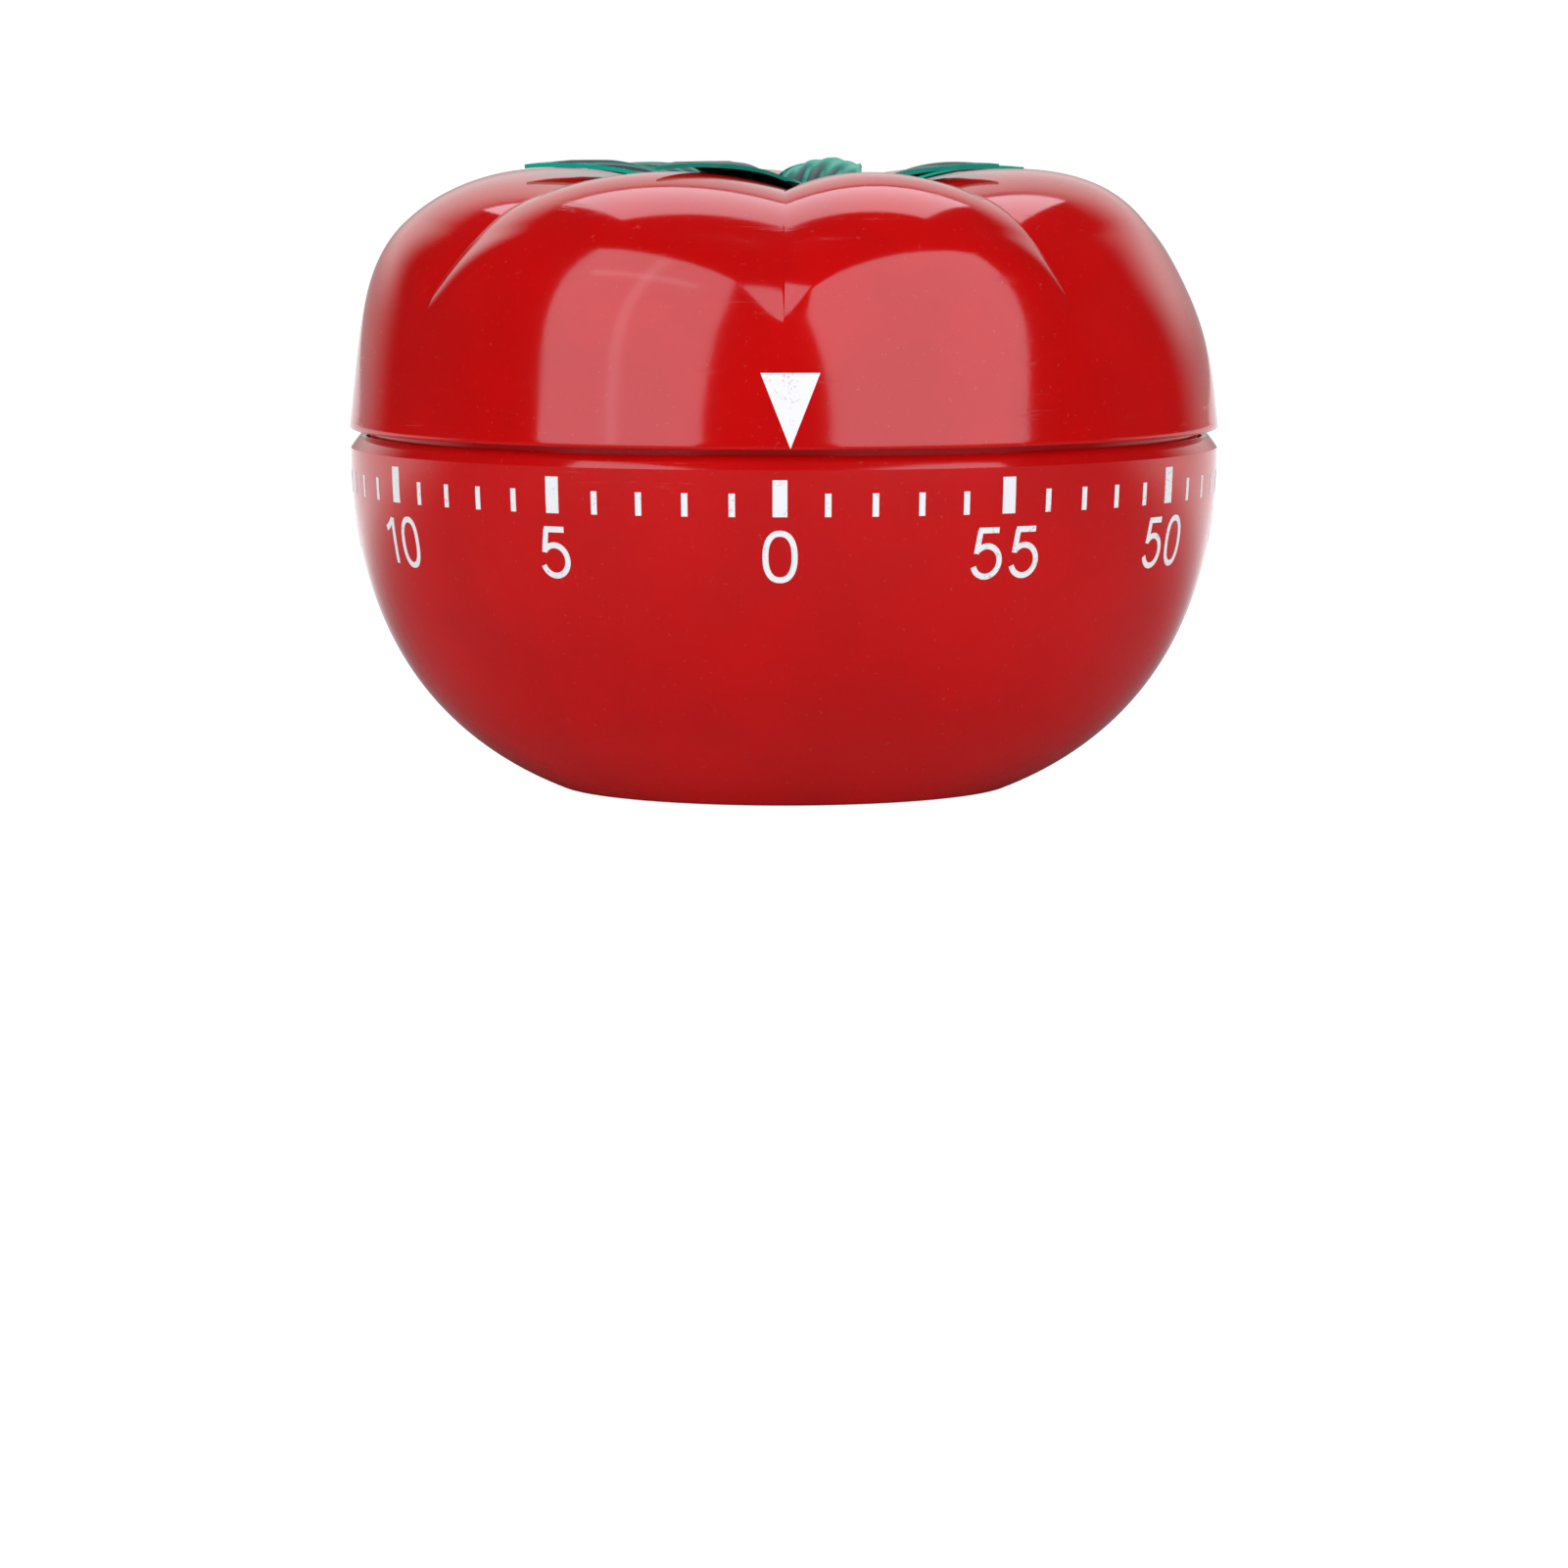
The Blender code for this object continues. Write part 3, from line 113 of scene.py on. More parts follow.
def colour(name, text, default):
    return FloatVectorProperty(
        name=name, description=text, default=default, subtype="COLOR", size=3, min=0.0, max=1.0
    )


def share(name, text, default):
    return FloatProperty(name=name, description=text, default=default, min=0.0, max=1.0)


class TimerCasing(bpy.types.PropertyGroup):
    """Sizes of the two shells and the collar between them."""

    upper_radius: length("Upper radius", "Upper shell at its lower edge", UPPER_TOP.x - 0.01 * MM)
    lower_radius: length("Lower radius", "Lower shell at its rim", LOWER_TOP.x)
    rim_height: length("Rim height", "Rim of the lower shell", LOWER_TOP.z)
    edge_height: length("Edge height", "Lower edge of the upper shell", UPPER_LOW.z)
    crest_height: length("Crest height", "Top of the lobes", UPPER_TOP.z)
    crest_radius: length("Crest radius", "Where the lobes are highest", 20.0 * MM)
    hollow_radius: length("Hollow radius", "Floor of the hollow round the stem", 4.4 * MM)
    hollow_depth: length("Hollow depth", "Floor of the hollow below the crest", 5.45 * MM)
    groove_depth: length("Groove depth", "Grooves between the lobes", 1.9 * MM)
    groove_start: length("Groove start", "Where the grooves begin above the edge", 10.2 * MM)
    base_radius: length("Base radius", "Flat disc that the timer stands on", 19.6 * MM)
    well_radius: length("Well radius", "Screw well in the base", 3.65 * MM)
    well_depth: length("Well depth", "Depth of the screw well", 7.0 * MM)
    wall: length("Wall", "Thickness of the shells", 1.35 * MM)
    rim_bevel: length("Rim bevel", "How far the lower shell's bevelled rim leans in", 0.85 * MM)
    rim_drop: length("Rim bevel height", "Height of the bevelled rim", 1.1 * MM)
    edge_round: length("Edge round", "Rounding of the upper shell's lower edge", 0.2 * MM)


class TimerCrown(bpy.types.PropertyGroup):
    """Sizes of the calyx and the stem."""

    valley_radius: length("Valley radius", "Where two leaves meet", 8.0 * MM)
    thickness: length("Thickness", "Thickness of a leaf", 0.35 * MM)
    gap: length("Gap", "Between the leaves and the shell", 0.4 * MM)
    rib_height: length("Rib height", "Height of the ribs along a leaf", 0.16 * MM)
    hub_radius: length("Hub radius", "Ring round the stem", 3.55 * MM)
    hub_rise: length("Hub rise", "Top of the ring above the hollow's floor", 2.7 * MM)
    stem_radius: length("Stem radius", "Disc of the stem", STEM_TOP.x)
    dimple_depth: length("Dimple depth", "Cone in the stem's end", 0.9 * MM)


class TimerPrint(bpy.types.PropertyGroup):
    """Sizes of the printed dial and pointer."""

    zero_angle: degrees("Zero angle", "Where the dial's zero is", 269.5)
    pointer_angle: degrees("Pointer angle", "Where the pointer is", 270.8)
    mark_foot: length("Mark foot", "Lower end of the minute marks", 25.4 * MM)
    long_mark: length("Long mark", "Length of a five-minute mark", 3.0 * MM)
    short_mark: length("Short mark", "Length of a minute mark", 1.9 * MM)
    long_width: length("Long mark width", "Width of a five-minute mark", 1.2 * MM)
    short_width: length("Short mark width", "Width of a minute mark", 0.52 * MM)
    digit_foot: length("Digit foot", "Foot of the numbers", 20.0 * MM)
    digit_height: length("Digit height", "Height of the numbers", 4.3 * MM)
    digit_width: length("Digit width", "Width of a digit", 2.85 * MM)
    digit_space: length("Digit space", "Step from digit to digit", 3.55 * MM)
    stroke: length("Stroke", "Width of a digit's line", 0.48 * MM)
    pointer_width: length("Pointer width", "Top side of the pointer", 4.85 * MM)
    pointer_height: length("Pointer height", "Height of the pointer", 6.1 * MM)
    ink: length("Ink", "How far the ink stands proud", 0.03 * MM)


class TimerColours(bpy.types.PropertyGroup):
    """Base colours, linear."""

    red: colour("Red", "Shells", (0.45, 0.0024, 0.0024))
    deep_red: colour("Deep red", "Collar in the seam", (0.30, 0.002, 0.002))
    leaf: colour("Leaf", "Body of the leaves", (0.010, 0.032, 0.034))
    leaf_edge: colour("Leaf edge", "Edges and valleys of the leaves", (0.001, 0.34, 0.225))
    stem: colour("Stem", "Stem and hub", (0.02, 0.02, 0.02))
    ink: colour("Ink", "Printed marks", (0.70, 0.70, 0.69))
    floor: colour("Floor", "Studio floor", (0.16, 0.16, 0.16))


class TimerStudio(bpy.types.PropertyGroup):
    """Camera and lights."""

    distance: length("Distance", "Camera to the timer's axis", 0.557)
    height: length("Height", "Camera above the floor", 0.05965)
    lens: FloatProperty(name="Lens", description="Focal length", default=147.95, unit="CAMERA")
    radiance: FloatProperty(name="Radiance", description="Brightness of the soft boxes", default=2.55)
    fill: FloatProperty(name="Fill", description="Brightness of the side fills", default=1.2)
    surround: share("Surround", "Brightness of the room in front", 0.03)
    backdrop: share("Backdrop", "Brightness of the room behind", 0.95)
    paper_lift: share("Paper lift", "Glow of the paper, which the gloss mirrors only far behind", 0.97)


SETTINGS = {
    "timer_casing": TimerCasing,
    "timer_crown": TimerCrown,
    "timer_print": TimerPrint,
    "timer_colours": TimerColours,
    "timer_studio": TimerStudio,
}


def settings(name):
    return getattr(bpy.context.scene, f"timer_{name}")


# Lines and curves


def polar(radius, angle):
    turn = math.radians(angle)
    return radius * math.cos(turn), radius * math.sin(turn)


def bezier(start, start_handle, end_handle, end, steps):
    points = []
    for i in range(steps + 1):
        t = i / steps
        weights = ((1 - t) ** 3, 3 * t * (1 - t) ** 2, 3 * t * t * (1 - t), t**3)
        corners = (start, start_handle, end_handle, end)
        points.append(tuple(sum(w * c[k] for w, c in zip(weights, corners)) for k in (0, 1)))
    return points


def arc(middle, radii, start, end, steps):
    """Points of an ellipse's arc in the plane, from one angle to another."""
    points = []
    for i in range(steps + 1):
        turn = math.radians(start + (end - start) * i / steps)
        points.append((middle[0] + radii[0] * math.cos(turn), middle[1] + radii[1] * math.sin(turn)))
    return points


def normals_of(points):
    """Unit normals of a line, to the right of its direction."""
    found = []
    for i in range(len(points)):
        before, after = points[max(i - 1, 0)], points[min(i + 1, len(points) - 1)]
        found.append(Vector((after[1] - before[1], before[0] - after[0])).normalized())
    return found


def inside(points, wall):
    """The line at a wall's thickness to the left of an upward line."""
    return [(p[0] - wall * n.x, p[1] - wall * n.y) for p, n in zip(points, normals_of(points))]


def value_at(points, place, given=0, wanted=1):
    """Reads one coordinate of a line where its other coordinate has a value."""
    for a, b in zip(points, points[1:]):
        if min(a[given], b[given]) <= place <= max(a[given], b[given]) and a[given] != b[given]:
            t = (place - a[given]) / (b[given] - a[given])
            return a[wanted] + (b[wanted] - a[wanted]) * t
    return min(points, key=lambda p: abs(p[given] - place))[wanted]


def lower_form(casing, steps=44):
    """Outer side of the lower shell, from the edge of the base up to the rim."""
    slope = math.radians(21.9)
    reach = 11.0 * MM
    foot_handle = (casing.base_radius + reach * math.cos(slope), reach * math.sin(slope))
    rim = (casing.lower_radius, casing.rim_height - casing.rim_drop)
    rim_handle = (casing.lower_radius, casing.rim_height * 0.43)
    return bezier((casing.base_radius, 0.0), foot_handle, rim_handle, rim, steps)


def hollow_floor(casing):
    return casing.crest_height - casing.hollow_depth


def crest_line(casing, outer_steps=50, hollow_steps=18):
    """The round form over the lobes' crests, from the lower edge up and over into the hollow."""
    rise = casing.crest_height - casing.edge_height
    floor = hollow_floor(casing)
    crest = (casing.crest_radius, casing.crest_height)
    outside = bezier(
        (casing.upper_radius, casing.edge_height + casing.edge_round),
        (casing.upper_radius - 0.85 * MM, casing.edge_height + 0.31 * rise),
        (casing.upper_radius - 1.0 * MM, casing.crest_height),
        crest,
        outer_steps,
    )
    hollow = bezier(
        crest,
        (casing.hollow_radius + 3.6 * MM, casing.crest_height),
        (casing.hollow_radius + 3.6 * MM, floor),
        (casing.hollow_radius, floor),
        hollow_steps,
    )
    return outside + hollow[1:]


def upper_form(casing):
    """Outer side of the upper shell, from its rounded lower edge over the crests into the hollow."""
    bend = casing.edge_round
    middle = (casing.upper_radius - bend, casing.edge_height + bend)
    return arc(middle, (bend, bend), 270, 360, 6)[:-1] + crest_line(casing)


def groove_share(casing, radius, height):
    """How much of the grooves' depth there is at a point of the crest line."""
    if radius < casing.crest_radius:
        inwards = (radius - casing.hollow_radius) / (casing.crest_radius - casing.hollow_radius)
        return HOLLOW_GROOVE + (CREST_GROOVE - HOLLOW_GROOVE) * max(inwards, 0.0)
    start = casing.edge_height + casing.groove_start
    rise = (height - start) / (casing.crest_height - start)
    if rise <= 0:
        return 0.0
    return math.sin(min(rise * 1.3, 1.0) ** 1.3 * math.pi / 2) * (1.0 - (1.0 - CREST_GROOVE) * rise)


def groove_sharpness(casing, radius, share_here):
    """Exponent of the lobes' cross-section: round on the crest, then ever flatter with a narrow crease."""
    if radius < casing.crest_radius:
        return 2.0
    return 2.0 + GROOVE_FLARE * max(1.0 - share_here / CREST_GROOVE, 0.0) ** 1.1


LOBE_ENDS = [lobe[0] for lobe in LOBES[1:]] + [LOBES[0][0] + 360]


def lobe_sink(casing, angle, radius, height):
    """How far the surface lies inside the round form: round lobes with a crease at each end."""
    turn = LOBES[0][0] + (angle - LOBES[0][0]) % 360
    lobe = next((i for i, end in enumerate(LOBE_ENDS) if turn <= end), 0)
    start, sink, swell = LOBES[lobe]
    across = abs(2 * (turn - start) / (LOBE_ENDS[lobe] - start) - 1)
    share_here = groove_share(casing, radius, height)
    shape = across ** groove_sharpness(casing, radius, share_here)
    depth = (sink + (casing.groove_depth - sink) * shape) * share_here
    if radius < casing.crest_radius:
        return depth
    rise = (height - casing.edge_height) / (casing.crest_height - casing.edge_height)
    shoulder = math.sin(math.pi * min(max(rise, 0.0), 1.0) ** 1.7) ** 2
    return depth - swell * shoulder * (1 - across**2)


# Modelling steps


def deselect():
    if bpy.context.object and bpy.context.object.mode != "OBJECT":
        bpy.ops.object.mode_set(mode="OBJECT")
    bpy.ops.object.select_all(action="DESELECT")


def select_only(piece):
    deselect()
    piece.select_set(True)
    bpy.context.view_layer.objects.active = piece


def named(name):
    """Names the primitive that was just added."""
    piece = bpy.context.object
    piece.name = name
    piece.data.name = name
    return piece


def edit(piece, mode="VERT"):
    select_only(piece)
    bpy.ops.object.mode_set(mode="EDIT")
    bpy.ops.mesh.select_mode(type=mode)
    bpy.ops.mesh.select_all(action="SELECT")


def finish_edit():
    bpy.ops.object.mode_set(mode="OBJECT")


def ring_of(name, points):
    """A circle primitive whose points are moved to a closed outline, given as 3-D points."""
    deselect()
    bpy.ops.mesh.primitive_circle_add(vertices=len(points), radius=0.01, fill_type="NOTHING")
    piece = named(name)
    for vertex, point in zip(piece.data.vertices, points):
        vertex.co = point
    return piece


def cut_edges(piece, test):
    """Deletes the edges whose two ends pass a test."""
    points = piece.data.vertices
    edit(piece, "EDGE")
    bpy.ops.mesh.select_all(action="DESELECT")
    finish_edit()
    for edge in piece.data.edges:
        edge.select = all(test(points[i].co) for i in edge.vertices)
    bpy.ops.object.mode_set(mode="EDIT")
    bpy.ops.mesh.delete(type="EDGE")
    finish_edit()


def tidy(piece, weld=WELD):
    edit(piece)
    bpy.ops.mesh.remove_doubles(threshold=weld)
    bpy.ops.mesh.normals_make_consistent(inside=False)
    finish_edit()


def settle(piece):
    """Applies a piece's place and turn to its mesh."""
    select_only(piece)
    bpy.ops.object.transform_apply(location=True, rotation=True, scale=True)


def smooth(piece, angle=35.0):
    select_only(piece)
    bpy.ops.object.shade_smooth_by_angle(angle=math.radians(angle))


def spun(name, outline, steps, angle=35.0):
    """A closed outline of (radius, height), spun once round Z."""
    piece = ring_of(name, [(radius, 0.0, height) for radius, height in outline])
    if any(radius == 0.0 for radius, _ in outline):
        cut_edges(piece, lambda co: abs(co.x) < WELD)
    edit(piece)
    bpy.ops.mesh.spin(steps=steps, angle=math.tau, center=(0, 0, 0), axis=(0, 0, 1))
    finish_edit()
    tidy(piece)
    smooth(piece, angle)
    return piece


def apply(piece, kind, **values):
    """Adds a modifier, sets it and applies it."""
    select_only(piece)
    modifier = piece.modifiers.new(kind.title(), kind)
    for key, value in values.items():
        setattr(modifier, key, value)
    bpy.ops.object.modifier_apply(modifier=modifier.name)


def combine(piece, other, operation):
    """Joins, or cuts away, another solid, which is then deleted."""
    apply(piece, "BOOLEAN", operation=operation, object=other, solver="EXACT")
    bpy.data.objects.remove(other, do_unlink=True)


def duplicate(piece, name):
    select_only(piece)
    bpy.ops.object.duplicate(linked=False)
    return named(name)


def join(name, parts):
    """Joins several objects into one piece."""
    deselect()
    for part in parts:
        part.select_set(True)
    bpy.context.view_layer.objects.active = parts[0]
    if len(parts) > 1:
        bpy.ops.object.join()
    return named(name)


def place(piece, material, body, slot, *replaced):
    """Gives a finished piece its material, its body and the solids that it stands for."""
    piece.data.materials.clear()
    piece.data.materials.append(material)
    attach(piece, body)
    if replaced:
        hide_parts(*replaced)


# Shader groups and materials


class Nodes:
    """Short hand for building one node tree."""

    def __init__(self, tree):
        self.tree = tree

    def add(self, kind, inputs=None, **values):
        node = self.tree.nodes.new(kind)
        for key, value in values.items():
            setattr(node, key, value)
        for key, value in (inputs or {}).items():
            if isinstance(value, bpy.types.NodeSocket):
                self.tree.links.new(value, node.inputs[key])
            else:
                node.inputs[key].default_value = value
        return node

    def math(self, operation, a, b=0.0, clamp=False):
        node = self.add("ShaderNodeMath", {0: a, 1: b}, operation=operation, use_clamp=clamp)
        return node.outputs[0]

    def times(self, a, b):
        return self.math("MULTIPLY", a, b)

    def link(self, output, socket):
        self.tree.links.new(output, socket)

    def mix(self, factor, a, b):
        node = self.add("ShaderNodeMix", data_type="RGBA")
        for key, value in (("Factor", factor), ("A", a), ("B", b)):
            socket = next(s for s in node.inputs if s.name == key and s.enabled)
            if isinstance(value, bpy.types.NodeSocket):
                self.tree.links.new(value, socket)
            else:
                socket.default_value = value if key == "Factor" else (*value[:3], 1.0)
        return next(s for s in node.outputs if s.enabled)

    def spread(self, value, low, high, to_low=0.0, to_high=1.0):
        node = self.add(
            "ShaderNodeMapRange",
            {"Value": value, "From Min": low, "From Max": high, "To Min": to_low, "To Max": to_high},
            interpolation_type="SMOOTHSTEP",
        )
        return node.outputs["Result"]

    def here(self):
        """The point's place on the piece, in metres."""
        return self.add("ShaderNodeTexCoord").outputs["Object"]

    def attribute(self, name):
        return self.add("ShaderNodeAttribute", attribute_name=name).outputs["Fac"]

    def bump(self, height, strength, distance):
        inputs = {"Height": height, "Strength": strength, "Distance": distance}
        return self.add("ShaderNodeBump", inputs).outputs[0]

    def noise(self, vector, scale, detail=2.0, roughness=0.5):
        inputs = {"Vector": vector, "Scale": scale, "Detail": detail, "Roughness": roughness}
        return self.add("ShaderNodeTexNoise", inputs).outputs["Fac"]


def shader_group(name, inputs, build):
    """A node group with named sockets, built once. It gives a colour, a roughness and a normal."""
    if name in bpy.data.node_groups:
        return bpy.data.node_groups[name]
    group = bpy.data.node_groups.new(name, "ShaderNodeTree")
    kinds = {"float": "NodeSocketFloat", "colour": "NodeSocketColor", "vector": "NodeSocketVector"}
    for label, (kind, default) in inputs.items():
        socket = group.interface.new_socket(label, in_out="INPUT", socket_type=kinds[kind])
        socket.default_value = (*default, 1.0) if kind == "colour" else default
    for label, kind in (("Colour", "colour"), ("Roughness", "float"), ("Normal", "vector")):
        group.interface.new_socket(label, in_out="OUTPUT", socket_type=kinds[kind])
    nodes = Nodes(group)
    entry = nodes.add("NodeGroupInput")
    results = build(nodes, entry.outputs)
    nodes.add("NodeGroupOutput", results)
    return group


def moulded_group():
    """Injection-moulded plastic: faint flow marks, sink waves, dust specks and hairline scratches."""

    def build(nodes, given):
        where = nodes.here()
        flow = nodes.noise(where, 90.0, 3.0)
        fine = nodes.noise(where, 2400.0, 2.0)
        wave = nodes.noise(where, 55.0, 1.0)
        stretch = nodes.add("ShaderNodeMapping", {"Vector": where, "Scale": (90.0, 300.0, 2600.0)})
        stretch.inputs["Rotation"].default_value = (0.4, 0.7, 0.2)
        hair = nodes.spread(nodes.noise(stretch.outputs[0], 1.0, 3.0, 0.6), 0.62, 0.70)
        darker = nodes.mix(nodes.spread(flow, 0.35, 0.65), given["Colour"], given["Flow Colour"])
        lift = nodes.times(nodes.spread(fine, 0.66, 0.78), given["Dust"])
        tint = nodes.mix(lift, darker, (0.75, 0.7, 0.68))
        rough = nodes.math("ADD", given["Roughness"], nodes.spread(flow, 0.3, 0.7, -0.012, 0.02))
        rough = nodes.math("ADD", rough, nodes.times(hair, given["Scratches"]))
        height = nodes.math("ADD", wave, nodes.times(fine, 0.012))
        height = nodes.math("SUBTRACT", height, nodes.times(hair, 0.02))
        normal = nodes.bump(height, 1.0, given["Waviness"])
        return {"Colour": tint, "Roughness": rough, "Normal": normal}

    inputs = {
        "Colour": ("colour", (0.5, 0.0, 0.0)),
        "Flow Colour": ("colour", (0.4, 0.0, 0.0)),
        "Roughness": ("float", 0.1),
        "Dust": ("float", 0.05),
        "Scratches": ("float", 0.05),
        "Waviness": ("float", 0.0001),
    }
    return shader_group("Moulded plastic", inputs, build)


def metal_group():
    """Worked metal: a lathe's or press's grain, which also roughens and bumps the surface, and tarnish in
    patches.
    """

    def build(nodes, given):
        where = nodes.here()
        grain_map = nodes.add("ShaderNodeMapping", {"Vector": where, "Scale": (400.0, 400.0, 9000.0)})
        grain = nodes.noise(grain_map.outputs[0], 1.0, 3.0, 0.6)
        patch = nodes.noise(where, 260.0, 4.0, 0.6)
        stain = nodes.times(nodes.spread(patch, 0.45, 0.7), given["Tarnish"])
        tint = nodes.mix(stain, given["Colour"], given["Tarnish Colour"])
        rough = nodes.math("ADD", given["Roughness"], nodes.spread(grain, 0.3, 0.7, -0.05, 0.08))
        rough = nodes.math("ADD", rough, nodes.times(stain, 0.2), True)
        return {"Colour": tint, "Roughness": rough, "Normal": nodes.bump(grain, 0.5, 0.01 * MM)}

    inputs = {
        "Colour": ("colour", (0.6, 0.6, 0.6)),
        "Tarnish Colour": ("colour", (0.3, 0.25, 0.15)),
        "Roughness": ("float", 0.3),
        "Tarnish": ("float", 0.3),
    }
    return shader_group("Worked metal", inputs, build)


def new_material(name):
    made = bpy.data.materials.new(name)
    made.use_nodes = True
    shader = made.node_tree.nodes["Principled BSDF"]
    return made, Nodes(made.node_tree), shader


def add_group(nodes, shader, group, values):
    """Lets a shader group drive a material's shader, with values for the group's own sockets."""
    source = nodes.add("ShaderNodeGroup", values, node_tree=group)
    for output, given in (("Colour", "Base Color"), ("Roughness", "Roughness"), ("Normal", "Normal")):
        nodes.link(source.outputs[output], shader.inputs[given])


# How dark the plastic's flow marks are beside its own colour
FLOW_SHADE = 0.9


def tinted(rgb, by):
    return tuple(min(max(c * by, 0.0), 1.0) for c in rgb)


def moulded_material(name, rgb, roughness, dust=0.03, scratches=0.05, waviness=0.12 * MM):
    if name in bpy.data.materials:
        return bpy.data.materials[name]
    made, nodes, shader = new_material(name)
    values = {
        "Colour": (*rgb, 1.0),
        "Flow Colour": (*tinted(rgb, FLOW_SHADE), 1.0),
        "Roughness": roughness,
        "Dust": dust,
        "Scratches": scratches,
        "Waviness": waviness,
    }
    add_group(nodes, shader, moulded_group(), values)
    shader.inputs["IOR"].default_value = 1.5
    return made


def metal_material(name, rgb, tarnish_rgb, roughness, tarnish):
    if name in bpy.data.materials:
        return bpy.data.materials[name]
    made, nodes, shader = new_material(name)
    values = {
        "Colour": (*rgb, 1.0),
        "Tarnish Colour": (*tarnish_rgb, 1.0),
        "Roughness": roughness,
        "Tarnish": tarnish,
    }
    add_group(nodes, shader, metal_group(), values)
    shader.inputs["Metallic"].default_value = 1.0
    return made


def red_plastic():
    return moulded_material("tomato_red", settings("colours").red[:], 0.09)


def collar_plastic():
    """The collar glows a little: a painted red glow that lightens it in the shade of the seam."""
    made = moulded_material("collar_red", settings("colours").deep_red[:], 0.14, 0.05, 0.12)
    shader = made.node_tree.nodes["Principled BSDF"]
    # Painted glow: a faint red emission that lightens the collar where the seam shades it
    shader.inputs["Emission Color"].default_value = (0.8, 0.004, 0.006, 1.0)
    shader.inputs["Emission Strength"].default_value = 0.16
    shader.inputs["Specular IOR Level"].default_value = 0.25
    return made


def stem_plastic():
    return moulded_material("stem_black", settings("colours").stem[:], 0.42, 0.1, 0.1, 0.05 * MM)


def leaf_plastic():
    """Dark ribbed leaves: teal in the valleys and along the edges, a painted teal sheen where they are seen
    at a grazing angle, and a painted grey highlight along the ribs' tops where they face the camera.
    """
    if "leaf_green" in bpy.data.materials:
        return bpy.data.materials["leaf_green"]
    colours = settings("colours")
    made, nodes, shader = new_material("leaf_green")
    rib, edge, leafy = (nodes.attribute(name) for name in ("rib", "edge", "green"))
    where = nodes.here()
    patch = nodes.noise(where, 330.0, 4.0, 0.6)
    valley = nodes.times(nodes.spread(rib, 0.45, 0.0), nodes.spread(patch, 0.4, 0.62))
    valley = nodes.times(valley, nodes.math("ADD", nodes.times(leafy, 0.5), 0.5))
    facing = nodes.add("ShaderNodeLayerWeight", {"Blend": 0.35}).outputs["Facing"]
    # Painted sheen: teal on the leaves where they are seen at a grazing angle, scaled by each leaf's green
    grazing_sheen = nodes.times(nodes.spread(facing, 0.4, 0.75), leafy)
    rimmed = nodes.times(nodes.spread(edge, 0.86, 1.0), nodes.spread(leafy, 0.0, 1.0, 0.5, 1.0))
    green = nodes.math("MAXIMUM", nodes.times(valley, 0.75), rimmed)
    green = nodes.math("MAXIMUM", green, grazing_sheen)
    # Painted highlight: light grey along the ribs' tops, in patches, strongest where the leaf faces the
    # camera
    crest = nodes.times(nodes.spread(rib, 0.55, 1.0), nodes.spread(patch, 0.35, 0.7))
    wear_and_rib_highlight = nodes.times(crest, nodes.spread(facing, 0.5, 0.8, 0.5, 0.1))
    body = nodes.mix(wear_and_rib_highlight, colours.leaf, (0.10, 0.125, 0.13))
    body = nodes.mix(nodes.spread(nodes.noise(where, 210.0, 3.0), 0.5, 0.75), body, (0.045, 0.035, 0.032))
    tint = nodes.mix(green, body, colours.leaf_edge)
    values = {
        "Colour": tint,
        "Flow Colour": tint,
        "Roughness": 0.3,
        "Dust": 0.08,
        "Scratches": 0.1,
        "Waviness": 0.04 * MM,
    }
    add_group(nodes, shader, moulded_group(), values)
    shader.inputs["Specular IOR Level"].default_value = 0.06
    return made


def ink_material():
    """Pad-printed white: thin spots where the red shows through, and a dry, slightly raised grain."""
    if "dial_ink" in bpy.data.materials:
        return bpy.data.materials["dial_ink"]
    colours = settings("colours")
    made, nodes, shader = new_material("dial_ink")
    where = nodes.here()
    speck = nodes.noise(where, 3600.0, 2.0, 0.6)
    area = nodes.noise(where, 420.0, 2.0)
    wear_and_rib_highlight = nodes.times(nodes.spread(speck, 0.57, 0.66), nodes.spread(area, 0.40, 0.60))
    tint = nodes.mix(nodes.times(wear_and_rib_highlight, 0.45), colours.ink, colours.red)
    nodes.link(tint, shader.inputs["Base Color"])
    rough = nodes.spread(speck, 0.3, 0.7, 0.38, 0.52)
    nodes.link(rough, shader.inputs["Roughness"])
    nodes.link(nodes.bump(speck, 0.6, 0.01 * MM), shader.inputs["Normal"])
    return made


def screw_zinc():
    return metal_material("screw_zinc", (0.72, 0.69, 0.6), (0.5, 0.36, 0.13), 0.24, 0.7)


# Finish of each metal slot: its material's name, its colour, its tarnish's colour, roughness and tarnish
METALS = {
    "zinc_steel": ("zinc_plate", (0.66, 0.65, 0.62), (0.4, 0.36, 0.25), 0.3, 0.4),
    "bell_steel": ("bell_nickel", (0.62, 0.61, 0.58), (0.35, 0.33, 0.28), 0.14, 0.3),
    "frame_steel": ("frame_steel", (0.46, 0.47, 0.49), (0.25, 0.2, 0.15), 0.36, 0.4),
    "brass": ("wheel_brass", (0.72, 0.50, 0.18), (0.35, 0.2, 0.06), 0.26, 0.5),
    "spring_steel": ("blued_steel", (0.1, 0.13, 0.22), (0.12, 0.08, 0.05), 0.25, 0.5),
}


